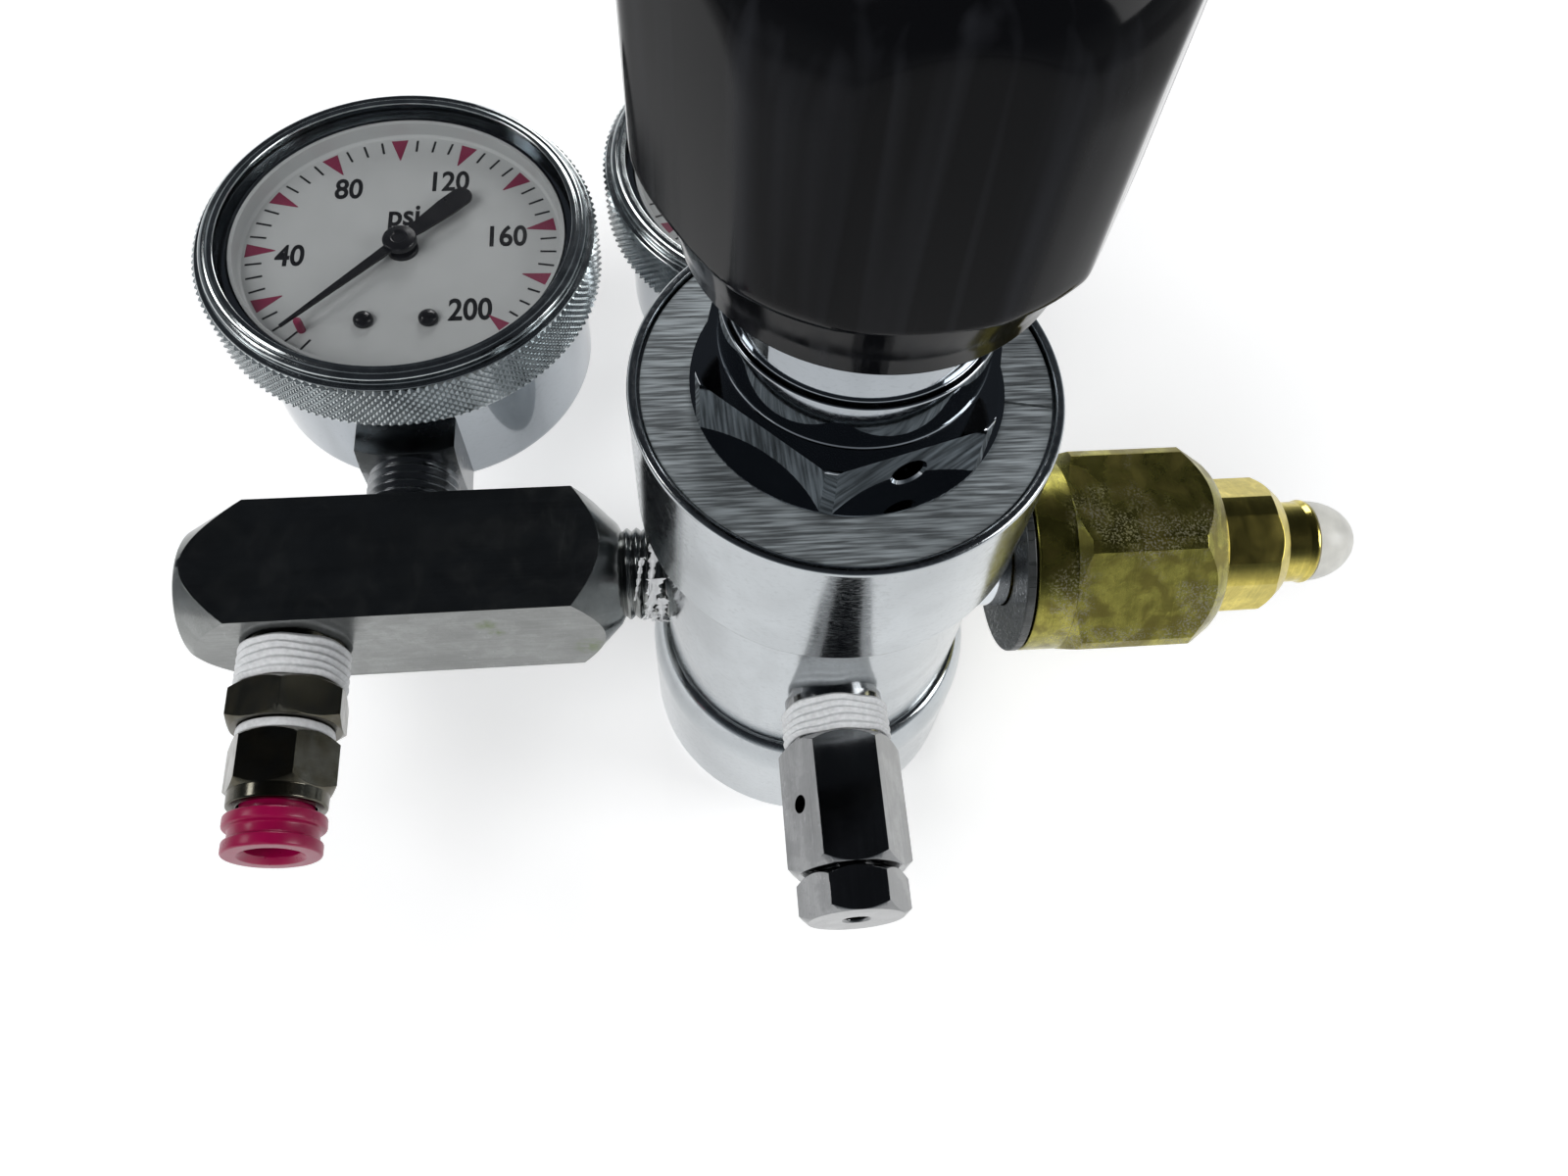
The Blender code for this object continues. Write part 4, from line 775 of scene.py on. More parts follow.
BLOCK = Weathered("rubbed_nickel", "block_nickel", (0.27, 0.28, 0.275), metallic=1.0, roughness=0.19,
                  grain=(90.0, 160.0, 160.0), variation=0.10, relief=0.003, lines=(70.0, 7000.0, 7000.0),
                  line_share=0.25, scratches=0.3, patch=(0.19, 0.195, 0.19), patch_share=0.35,
                  stain=(0.13, 0.17, 0.07),
                  stains=((-33.5, -8.6, 36.5, 3.2), (-47.0, -9.5, 45.0, 2.0), (-46.0, -9.5, 42.5, 1.4)))
DARK_NICKEL = Weathered("dark_nickel", "dark_nickel", (0.115, 0.11, 0.09), metallic=1.0, roughness=0.19,
                        grain=(260.0, 260.0, 260.0), variation=0.12, relief=0.003,
                        lines=(400.0, 6000.0, 400.0), line_share=0.25, scratches=0.25,
                        patch=(0.07, 0.06, 0.035), patch_share=0.5)
RELIEF_NICKEL = Weathered("relief_nickel", "relief_nickel", (0.30, 0.305, 0.31), metallic=1.0, roughness=0.12,
                          grain=(200.0, 90.0, 200.0), variation=0.1, relief=0.003,
                          lines=(5200.0, 60.0, 5200.0), line_share=0.25, scratches=0.35,
                          patch=(0.20, 0.205, 0.21), patch_share=0.5)
SOCKET = Finish("plated_socket", "plated_socket", (0.30, 0.31, 0.32), metallic=1.0, roughness=0.24,
                grain=(300.0, 300.0, 300.0), variation=0.1)
OLD_BRASS = Weathered("tarnished_brass", "tarnished_brass", (0.36, 0.33, 0.075), metallic=1.0, roughness=0.30,
                      grain=(420.0, 420.0, 420.0), variation=0.14, relief=0.010,
                      lines=(5200.0, 200.0, 200.0), line_share=0.2, scratches=0.5,
                      patch=(0.16, 0.135, 0.035), patch_share=0.75, frost=0.5)
NEW_BRASS = Weathered("machined_brass", "bright_brass", (0.62, 0.52, 0.13), metallic=1.0, roughness=0.20,
                      grain=(260.0, 260.0, 260.0), variation=0.1, relief=0.003,
                      lines=(7000.0, 90.0, 90.0), line_share=0.3, scratches=0.3,
                      patch=(0.38, 0.31, 0.07), patch_share=0.35)
INNER_BRASS = Finish("inner_brass", "inner_brass", (0.58, 0.46, 0.18), metallic=1.0, roughness=0.3)
STEEL = Finish("spring_steel", "spring_steel", (0.45, 0.46, 0.47), metallic=1.0, roughness=0.3)
WASHER = Lined("washer_steel", "washer_steel", (0.10, 0.105, 0.105), metallic=0.6, roughness=0.38,
               grain=(500.0, 500.0, 500.0), variation=0.15, relief=0.01, lines=(200.0, 2500.0, 2500.0),
               line_share=0.2)
# Its lighter upright streaks are painted sheen, standing in for soft reflections
KNOB = Moulded("gloss_black", "black_plastic", (0.004, 0.0042, 0.005), roughness=0.09,
               grain=(70.0, 70.0, 70.0), variation=0.25, relief=0.03, gloss=0.06)
ENAMEL = Finish("black_enamel", "black_enamel", (0.008, 0.008, 0.01), roughness=0.3)
BLACK_SCREW = Finish("black_screw", "black_screw", (0.01, 0.01, 0.012), metallic=0.2, roughness=0.22)
RED_INK = Finish("red_ink", "red_plastic", (0.21, 0.022, 0.062), roughness=0.5)
DIAL = Finish("dial_enamel", "dial_enamel", (0.45, 0.465, 0.465), roughness=0.5,
              grain=(220.0, 220.0, 220.0), variation=0.02)
CRIMSON = Finish("crimson_moulding", "red_plastic", (0.30, 0.002, 0.055), roughness=0.3,
                 grain=(500.0, 500.0, 500.0), variation=0.05, relief=0.01)
TAPE = Finish("thread_tape", "sealing_tape", (0.80, 0.81, 0.82), roughness=0.5,
              grain=(1500.0, 1500.0, 1500.0), variation=0.08, relief=0.10)
TIP = Finish("soft_tip", "tip_plastic", (0.80, 0.79, 0.73), roughness=0.35,
             grain=(400.0, 400.0, 400.0), variation=0.06, relief=0.01)
RUBBER = Finish("black_rubber", "rubber", (0.03, 0.03, 0.03), roughness=0.7)
WINDOW = Clear("clear_window", "window", (1.0, 1.0, 1.0), metallic=1.0, roughness=0.08)


# Sub-assemblies

@dataclass
class SubAssembly:
    """What every part of the regulator shares: a body to ride on and a list of its pieces."""

    body: str = "housing"
    made: List[str] = field(default_factory=list)

    def fit(self, piece: Piece, finish: Finish, *nodes: str, body: str = "") -> Piece:
        """Dresses a settled piece and lets it stand for its CAD nodes.

        Args:
            piece: the finished mesh, in place.
            finish: what it is made of.
            nodes: the CAD nodes it replaces.
            body: the body it rides on, if not the sub-assembly's own.

        Returns:
            The same piece.
        """
        piece.data.materials.clear()
        piece.data.materials.append(finish.material())
        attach(piece, body or self.body)
        if nodes:
            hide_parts(*nodes)
        self.made.append(piece.name)
        LOG.info("%s: %d faces", piece.name, len(piece.data.polygons))
        return piece

    def keep(self, node: str, finish: Finish) -> None:
        """Gives a CAD node that stays its finish.

        Args:
            node: its name.
            finish: what it is made of.
        """
        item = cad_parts[node]
        item.data.materials.clear()
        item.data.materials.append(finish.material())

    def hexagon(self, name: str, corners: Sequence[Corner], across_flats: float, corner_turn: float,
                steps: int = 96, edge: float = 0.2) -> Piece:
        """Turns a fitting from hexagon bar.

        Args:
            name: the piece's name.
            corners: its closed outline.
            across_flats: the bar's width.
            corner_turn: the angle of one corner about the fitting's axis, in degrees.
            steps: how many steps the turning takes.
            edge: how wide its broken edges are.

        Returns:
            The fitting, about its own axis.
        """
        return soften(mill(turn(name, corners, steps, closed=True), across_flats, 6, corner_turn), edge)


def thread(radius: float, start: float, end: float, depth: float = THREAD_DEPTH,
           pitch: float = THREAD_PITCH) -> List[Corner]:
    """Gives the outline of a thread's ridges.

    Args:
        radius: over the crests.
        start: where it starts along the axis.
        end: where it ends.
        depth: from crest to root.
        pitch: from crest to crest.

    Returns:
        The points, from start to end.
    """
    points: List[Corner] = []
    count = max(1, round(abs(end - start) / pitch))
    step = (end - start) / count
    for index in range(count):
        low = start + step * index
        points += [(radius - depth, low), (radius - depth * 0.15, low + step * 0.36),
                   (radius, low + step * 0.5), (radius - depth * 0.15, low + step * 0.64)]
    return points + [(radius - depth, end)]


@dataclass
class Barrel(SubAssembly):
    """The chromed base cap, body, collar, label ring, bonnet and main spring."""

    radius: float = 22.5
    base_radius: float = 25.1
    base_height: float = 24.4
    base_shoulder: float = 18.2
    base_floor: float = 6.7
    base_bore: float = 20.3
    body_low: float = 7.0
    body_joint: float = 24.7
    spigot_radius: float = 20.0
    valve_bore: float = 7.0
    chamber_radius: float = 13.0
    chamber_floor: float = 60.0
    clamp_ledge: float = 66.0
    bonnet_bore: float = 16.6
    collar_radius: float = 25.06
    collar_low: float = 62.2
    top: float = 84.2
    rim_width: float = 1.15
    label_ledge: float = 82.7
    label_bore: float = 17.3
    label_radius: float = 23.61
    label_low: float = 83.0
    label_top: float = 83.6
    split_width: float = 0.32
    split_turn: float = -10.8
    skirt_radius: float = 16.3
    skirt_low: float = 67.4
    cavity_radius: float = 12.6
    cavity_top: float = 105.9
    screw_bore: float = 4.3
    foot_low: float = 83.9
    foot_radius: float = 17.95
    hex_low: float = 84.3
    hex_top: float = 92.2
    hex_flats: float = 31.75
    hex_corner: float = -103.7
    neck_radius: float = 14.7
    throat_radius: float = 13.9
    neck_step: float = 98.8
    neck_top: float = 110.9
    vent_radius: float = 1.75
    vent_height: float = 4.3
    coil_radius: float = 9.5
    coil_wire: float = 1.3
    coil_turns: int = 6
    adjuster_stroke: float = 5.99

    def base_cap(self) -> None:
        """Turns the lower cap, with its soft shoulder."""
        corners: List[Corner] = [(0, 0), (self.base_radius, 0, 0.9)]
        corners += bow((self.radius, self.base_shoulder), self.base_radius - self.radius,
                       self.base_height - self.base_shoulder, 0, 86, 14)
        corners += [(self.radius - 0.25, self.base_height), (self.base_bore, self.base_height),
                    (self.base_bore, self.base_floor), (0, self.base_floor)]
        piece = settle(turn("base_cap_shell", corners, 160), Heading.UP.place())
        self.fit(piece, BUFFED, "base_cap")

    def body_shell(self) -> None:
        """Turns the body with the collar that carries the label ring."""
        rim = self.collar_radius - self.rim_width
        corners: List[Corner] = [
            (self.valve_bore, self.body_low), (self.spigot_radius, self.body_low, 0.5),
            (self.spigot_radius, self.body_joint), (self.radius, self.body_joint, 0.3),
            (self.radius, self.collar_low - 0.6, 0.6), (self.collar_radius, self.collar_low - 0.1, 1.0),
            (self.collar_radius, self.top, 0.75), (rim, self.top, 0.3), (rim, self.label_ledge),
            (self.bonnet_bore, self.label_ledge), (self.bonnet_bore, self.clamp_ledge),
            (self.chamber_radius, self.clamp_ledge), (self.chamber_radius, self.chamber_floor),
            (self.valve_bore, self.chamber_floor)]
        piece = settle(turn("body_shell", corners, 192, closed=True), Heading.UP.place())
        self.fit(piece, BUFFED, "body")

    def label_ring(self) -> None:
        """Turns the bare label ring and cuts its split."""
        corners: List[Corner] = [
            (self.label_bore, self.label_low), (self.label_radius, self.label_low),
            (self.label_radius, self.label_top, 0.12), (self.label_bore, self.label_top, 0.12)]
        ring = turn("label_plate", corners, 160, closed=True)
        let_go()
        bpy.ops.mesh.primitive_cube_add(size=1.0)
        saw = bpy.context.object
        middle = Matrix.Translation((20.5, 0, (self.label_low + self.label_top) / 2))
        saw.matrix_world = (Matrix.Rotation(math.radians(self.split_turn), 4, "Z") @ middle
                            @ Matrix.Diagonal((8, self.split_width, 2, 1)))
        self.fit(settle(cut(ring, saw), Heading.UP.place()), BRUSHED, "label_ring")

    def bonnet(self) -> None:
        """Turns the bonnet, mills its hexagon above the round foot and drills its vent."""
        corners: List[Corner] = [
            (self.cavity_radius, self.skirt_low), (self.skirt_radius, self.skirt_low),
            (self.skirt_radius, self.foot_low), (self.foot_radius, self.foot_low, 0.2),
            (self.foot_radius, self.hex_top, 0.35), (self.neck_radius, self.hex_top, 0.4),
            (self.neck_radius, self.neck_step, 0.3), (self.throat_radius, self.neck_step + 0.1, 0.2),
            (self.throat_radius, self.neck_top, 0.5), (self.screw_bore, self.neck_top),
            (self.screw_bore, self.cavity_top), (self.cavity_radius, self.cavity_top)]
        piece = turn("bonnet_shell", corners, 144, closed=True)
        mill_band(piece, self.hex_flats, 6, self.hex_corner, self.hex_low, self.hex_top + 0.1)
        soften(piece, 0.18, 2, 22.0)
        flat = math.radians(self.hex_corner + 30)
        mouth = self.vent_radius + 0.35
        bit = turn("bit", [(0, 11.6), (self.vent_radius, 11.6), (self.vent_radius, 15.6), (mouth, 15.9),
                           (mouth, 21), (0, 21)], 48)
        bit.matrix_world = (Matrix.Translation((0, 0, self.foot_low + self.vent_height))
                            @ Matrix.Rotation(flat, 4, "Z") @ Matrix.Rotation(math.pi / 2, 4, "Y"))
        cut(piece, bit)
        self.fit(settle(piece, Heading.UP.place()), SHADED_CHROME, "bonnet")

    def spring(self) -> None:
        """Winds the main spring over the length of the CAD spring."""
        low, high = (corner[2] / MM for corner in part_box("main_spring"))
        let_go()
        bpy.ops.mesh.primitive_circle_add(vertices=16, radius=self.coil_wire, rotation=(math.pi / 2, 0, 0),
                                          location=(self.coil_radius, 0, low + self.coil_wire))
        piece = bpy.context.object
        piece.name = "main_coil"
        bpy.ops.object.transform_apply(location=True, rotation=True, scale=True)
        winding = piece.modifiers.new("winding", "SCREW")
        winding.steps = 48
        winding.iterations = self.coil_turns
        winding.screw_offset = (high - low - 2 * self.coil_wire) / self.coil_turns
        bpy.ops.object.modifier_apply(modifier=winding.name)
        edit(piece)
        bpy.ops.mesh.select_all(action="SELECT")
        bpy.ops.mesh.fill_holes(sides=0)
        bpy.ops.mesh.select_all(action="SELECT")
        bpy.ops.mesh.normals_make_consistent(inside=False)
        let_go()
        self.fit(settle(piece, Heading.UP.place()), STEEL, "main_spring")
        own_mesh(piece)

    def build(self) -> None:
        """Builds every piece of the barrel and dresses what is inside it."""
        self.base_cap()
        self.body_shell()
        self.label_ring()
        self.bonnet()
        self.spring()
        for node in ("seat_nozzle", "valve_plug", "diaphragm_plate", "poppet", "inlet_filter"):
            self.keep(node, INNER_BRASS)
        for node in ("poppet_spring", "spring_button", "adjusting_screw", "relief_spring"):
            self.keep(node, STEEL)
        self.keep("diaphragm", RUBBER)


@dataclass
class Knob(SubAssembly):
    """The black adjusting knob, a turned moulding with six arched flats."""

    body: str = "knob"
    low: float = 108.9
    shoulder: float = 117.4
    grip_low: float = 119.9
    grip_top: float = 136.9
    top: float = 147.9
    radius: float = 22.4
    skirt_radius: float = 18.5
    shoulder_radius: float = 20.5
    crown_round: float = 7.9
    bore: float = 15.1
    bore_top: float = 118.5
    screw_bore: float = 4.3
    screw_top: float = 138.8
    flat_reach: float = 21.0
    flat_turn: float = -89.7
    flat_softness: float = 0.35
    flats: int = 6

    def build(self) -> None:
        """Moulds the knob."""
        foot = self.low + 0.8
        widening, rise = (self.shoulder_radius - self.skirt_radius) / 6, (self.shoulder - foot) / 6
        corners: List[Corner] = [(self.bore, self.low, 0.3), (self.skirt_radius, self.low, 0.6)]
        corners += [(self.skirt_radius + widening * k, foot + rise * k) for k in range(1, 7)]
        corners += bow((self.shoulder_radius, self.grip_low), self.radius - self.shoulder_radius,
                       self.grip_low - self.shoulder, -70, 0, 6)
        step = (self.grip_top - self.grip_low) / 24
        corners += [(self.radius, self.grip_low + step * k) for k in range(1, 24)]
        corners += bow((self.radius - self.crown_round, self.grip_top), self.crown_round,
                       self.top - self.grip_top, 0, 84, 30)
        corners += [(10.0, self.top - 0.02), (0, self.top), (0, self.screw_top),
                    (self.screw_bore, self.screw_top), (self.screw_bore, self.bore_top),
                    (self.bore, self.bore_top)]
        piece = turn("knob_moulding", corners, 384, closed=True)
        soft_flats(piece, self.flat_reach, self.flats, self.flat_turn, self.flat_softness)
        self.fit(settle(piece, Heading.UP.place()), KNOB, "adjusting_knob")


@dataclass
class Manifold(SubAssembly):
    """The square bar on the left with its thread, its tape and the hose outlet."""

    width: float = 19.05
    neck_start: float = 12.5
    neck_root: float = 5.9
    thread_start: float = 13.2
    thread_end: float = 28.4
    bar_start: float = 35.2
    bar_end: float = 80.0
    end: float = 88.05
    end_radius: float = 9.0
    outlet_x: float = -73.8
    bushing_turn: float = 20
    push_in_turn: float = 60
    tape_inside: float = 6.4
    tape_radius: float = 7.4
    tape_ridges: int = 5
    outlet_tape: Tuple[float, float] = (9.85, 5.75)
    relief_tape: Tuple[float, float] = (23.1, 4.9)
    torn_radius: float = 7.0
    torn_thickness: float = 0.09
    torn: Tuple[Tuple[float, float, float, float, float], ...] = (
        (20, -75, 23.3, 1.3, 1.5), (-35, -70, 23.6, 1.6, 2.2), (-80, -60, 24.6, 1.0, -1.2),
        (60, -60, 23.2, 0.9, 1.2), (-10, -50, 25.4, 0.6, 1.4), (-60, -45, 23.0, 1.4, 0.4),
        (-110, -60, 23.2, 1.5, 1.0), (150, -70, 23.2, 1.1, 1.2))

    def bar(self) -> None:
        """Turns the bar's ends, mills its four sides and threads its neck."""
        corner = self.width / math.sqrt(2) + 0.1
        corners: List[Corner] = [(0, self.neck_start), (self.neck_root, self.neck_start)]
        corners += thread(THREAD_RADIUS, self.thread_start, self.thread_end)
        corners += [(7.3, self.thread_end + 0.6), (corner, self.bar_start), (corner, self.bar_end),
                    (self.end_radius, self.end, 0.6), (0, self.end)]
        piece = mill(turn("manifold_bar", corners, 128), self.width, 4, 45.0)
        soften(piece, 0.35, 3, 30.0)
        self.fit(settle(piece, Heading.LEFT.place()), BLOCK, "manifold_block")

    def tape(self, name: str, span: Tuple[float, float], place: Matrix, node: str) -> None:
        """Winds thread tape on the part of a thread that shows.

        Args:
            name: the piece's name.
            span: where it starts along the thread's axis, and its length.
            place: where that axis lies.
            node: the CAD node that it replaces.
        """
        start, length = span
        ridges = thread(self.tape_radius, start, start + length, 0.5, length / self.tape_ridges)
        corners: List[Corner] = [(self.tape_inside, start)]
        corners += [(*corner, 0.15) for corner in ridges]
        corners += [(self.tape_inside, start + length)]
        piece = turn(name, corners, 96, 3, closed=True)
        for vertex in piece.data.vertices:
            angle = math.atan2(vertex.co.y, vertex.co.x)
            vertex.co.z += 0.12 * math.sin(3 * angle + vertex.co.z) + 0.08 * math.sin(7 * angle)
        self.fit(settle(piece, place), TAPE, node)

    def shred(self, index: int, start: float, sweep: float, along: float, width: float, lean: float) -> Piece:
        """Tears one shred of tape and lays it round the bar's neck.

        Args:
            index: its number, which varies its edge.
            start: the angle where it starts, in degrees.
            sweep: how far round it goes, in degrees.
            along: where it lies along the neck.
            width: its width where it starts.
            lean: how far its end moves along the neck.

        Returns:
            The shred.
        """
        let_go()
        bpy.ops.mesh.primitive_grid_add(x_subdivisions=28, y_subdivisions=4, size=1.0)
        strip = bpy.context.object
        for vertex in strip.data.vertices:
            share, side = vertex.co.x + 0.5, vertex.co.y
            angle = math.radians(start + sweep * share)
            ragged = 1 + 0.35 * math.sin(31 * share + index) + 0.25 * math.sin(73 * share + 2 * index)
            wave = 0.12 * math.sin(17 * share + index) + 0.10 * math.sin(9 * side + 5 * share)
            radius = self.torn_radius + wave
            vertex.co = (radius * math.cos(angle), radius * math.sin(angle),
                         along + lean * share + width * ragged * side * (1.2 - share))
        take(strip)
        skin = strip.modifiers.new("skin", "SOLIDIFY")
        skin.thickness = self.torn_thickness
        bpy.ops.object.modifier_apply(modifier=skin.name)
        return strip

    def shreds(self) -> None:
        """Leaves torn shreds of tape on the bar's neck, next to the body."""
        strips = [self.shred(index, *sizes) for index, sizes in enumerate(self.torn)]
        self.fit(settle(join(strips, "torn_tape"), Heading.LEFT.place(), 60.0), TAPE)

    def bushing(self, place: Matrix) -> None:
        """Makes the outlet's bushing, with a ring of tape in front of it.

        Args:
            place: where the outlet's axis lies.
        """
        ring = turn("inner_tape_ring", [(5.2, 21.55), (6.2, 21.55, 0.2), (6.3, 22.2), (6.1, 22.75, 0.2),
                                        (5.2, 22.75)], 64, closed=True)
        self.fit(settle(ring, place), TAPE)
        corners: List[Corner] = [
            (PASSAGE, 2.3), (6.0, 2.3), (THREAD_RADIUS, 3.0), (THREAD_RADIUS, 15.9), (LARGE_FACE, 15.9),
            (LARGE_CORNER, 16.9), (LARGE_CORNER, 20.4), (LARGE_FACE, 21.4), (5.4, 21.4), (5.4, 14.9),
            (PASSAGE, 14.9)]
        piece = self.hexagon("outlet_bushing_hex", corners, LARGE_FLATS, self.bushing_turn)
        self.fit(settle(piece, place), DARK_NICKEL, "outlet_bushing")

    def push_in(self, place: Matrix) -> None:
        """Makes the push-in body and its red collet.

        Args:
            place: where the outlet's axis lies.
        """
        corners: List[Corner] = [
            (PASSAGE, 15.2), (5.1, 15.2), (5.1, 22.9), (SMALL_FACE, 22.9), (SMALL_CORNER, 23.9),
            (SMALL_CORNER, 29.3), (6.3, 30.3, 0.2), (SMALL_FACE, 32.2, 0.3), (4.9, 32.2, 0.2), (4.9, 24.5),
            (3.3, 24.5), (3.3, 23.5), (PASSAGE, 23.5)]
        piece = self.hexagon("push_in_body", corners, SMALL_FLATS, self.push_in_turn)
        self.fit(settle(piece, place), DARK_NICKEL, "outlet_body")
        corners = [(3.4, 28.7), (4.6, 28.7), (4.6, 33.3), (6.4, 33.3, 0.35), (6.4, 34.9, 0.45),
                   (5.6, 35.1, 0.3), (5.6, 36.5, 0.3), (6.15, 36.7, 0.3), (6.15, 38.3, 0.35),
                   (4.2, 38.3, 0.3), (3.4, 37.5, 0.2)]
        collet = turn("release_collet_moulding", corners, 96, closed=True)
        self.fit(settle(collet, place), CRIMSON, "release_collet", body="collet")

    def build(self) -> None:
        """Builds the bar, the tape and the outlet, and dresses what is inside it."""
        outlet = Heading.FRONT.place(self.outlet_x)
        self.bar()
        self.shreds()
        self.tape("outlet_tape_winding", self.outlet_tape, outlet, "outlet_thread_tape")
        self.tape("relief_tape_winding", self.relief_tape, Heading.FRONT.place(), "relief_thread_tape")
        self.bushing(outlet)
        self.push_in(outlet)
        self.keep("outlet_o_ring", RUBBER)
        self.keep("grip_ring", STEEL)


@dataclass
class Relief(SubAssembly):
    """The relief valve at the front."""

    vent_radius: float = 1.2
    vent_along: float = 37.0
    vent_turn: float = 150

    def build(self) -> None:
        """Makes the valve's body with its vent, and its cap."""
        place = Heading.FRONT.place()
        corners: List[Corner] = [
            (PASSAGE, 12.3), (6.0, 12.3), (THREAD_RADIUS, 13.0), (THREAD_RADIUS, 28.3), (LARGE_FACE, 28.3),
            (LARGE_CORNER, 29.5), (LARGE_CORNER, 44.4), (LARGE_FACE, 45.6), (4.6, 45.6), (4.6, 30.7),
            (PASSAGE, 30.7)]
        body = self.hexagon("relief_hex", corners, LARGE_FLATS, 0)
        side = (Matrix.Translation((0, 0, self.vent_along))
                @ Matrix.Rotation(math.radians(self.vent_turn), 4, "Z")
                @ Matrix.Rotation(math.pi / 2, 4, "Y"))
        drill(body, self.vent_radius, 3.6, 12.0, side)
        self.fit(settle(body, place), RELIEF_NICKEL, "relief_body")
        corners = [(1.65, 41.4), (4.3, 41.4), (4.3, 45.9), (SMALL_FACE, 45.9), (SMALL_CORNER, 46.9),
                   (SMALL_CORNER, 50.5), (SMALL_FACE, 51.5), (1.9, 51.5), (1.65, 51.2)]
        cap = self.hexagon("relief_cap_hex", corners, SMALL_FLATS, 0)
        self.fit(settle(cap, place), RELIEF_NICKEL, "relief_cap")
        self.keep("relief_poppet", INNER_BRASS)


@dataclass
class Inlet(SubAssembly):
    """The brass inlet on the right: washer, nut, nipple and soft tip."""

    nut_flats: float = 28.575
    nut_round: float = 16.0
    nut_collar: float = 14.25
    nut_mouth: float = 11.3
    nut_bore: float = 7.5
    nut_turn: float = -34
    nipple_flats: float = 18.9
    nipple_round: float = 10.05
    nipple_turn: float = -5
    shank: float = 6.9
    nose: float = 6.1
    nose_bore: float = 3.7
    filter_bore: float = 3.0
    tip_low: float = 74.2
    tip_length: float = 7.7

    def washer(self) -> None:
        """Turns the dark washer behind the nut."""
        corners: List[Corner] = [(self.nut_bore, 27.4), (self.nut_collar, 27.4, 0.3),
                                 (self.nut_collar, 28.7, 0.2), (self.nut_bore, 28.7)]
        piece = turn("nut_washer_ring", corners, 128, closed=True)
        self.fit(settle(piece, Heading.RIGHT.place()), WASHER, "nut_washer", body="washer")

    def nut(self) -> None:
        """Turns the nut's collar and mouth and mills its hexagon."""
        corners: List[Corner] = [
            (self.nut_bore, 29.0), (self.nut_collar, 29.0, 0.4), (self.nut_collar, 34.6),
            (self.nut_collar - 0.1, 34.65), (self.nut_round, 36.1), (self.nut_round, 52.3), (13.3, 56.2),
            (12.5, 57.0, 0.4), (self.nut_mouth, 57.0, 0.3), (self.nut_mouth, 35.6), (self.nut_bore, 35.6)]
        piece = self.hexagon("inlet_nut_hex", corners, self.nut_flats, self.nut_turn, 144, 0.25)
        self.fit(settle(piece, Heading.RIGHT.place()), OLD_BRASS, "inlet_nut", body="nut")

    def nipple(self) -> None:
        """Turns the nipple's shank and nose, mills its small hexagon and plates its root."""
        corners: List[Corner] = [
            (self.filter_bore, 12.3), (6.0, 12.3), (THREAD_RADIUS, 13.0), (THREAD_RADIUS, 22.5),
            (self.shank, 22.8), (self.shank, 50.0), (8.25, 50.0), (self.nipple_round, 50.9),
            (self.nipple_round, 66.0), (8.25, 68.2), (self.nose, 68.2), (self.nose, 72.7, 0.3),
            (6.35, 73.5, 0.2), (6.3, 73.9), (self.nose_bore, 73.9), (self.nose_bore, 68.0),
            (self.filter_bore, 68.0)]
        piece = self.hexagon("nipple_hex", corners, self.nipple_flats, self.nipple_turn, 128)
        self.fit(settle(piece, Heading.RIGHT.place()), NEW_BRASS, "inlet_nipple")
        inside = self.shank + 0.02
        sleeve = turn("plated_sleeve", [(inside, 22.6), (7.3, 22.6, 0.2), (7.3, 27.2, 0.3), (inside, 27.2)],
                      96, closed=True)
        self.fit(settle(sleeve, Heading.RIGHT.place()), CHROME)

    def tip(self) -> None:
        """Turns the soft tip of the nose."""
        corners: List[Corner] = [(1.0, 68.3), (3.4, 68.3), (3.4, self.tip_low), (self.nose, self.tip_low)]
        corners += bow((0, self.tip_low), self.nose, self.tip_length, 6, 76, 12) + [(1.0, 81.6, 0.3)]
        piece = turn("soft_nose", corners, 96, closed=True)
        self.fit(settle(piece, Heading.RIGHT.place()), TIP, "nose_tip")

    def build(self) -> None:
        """Builds the inlet's pieces."""
        self.washer()
        self.nut()
        self.nipple()
        self.tip()


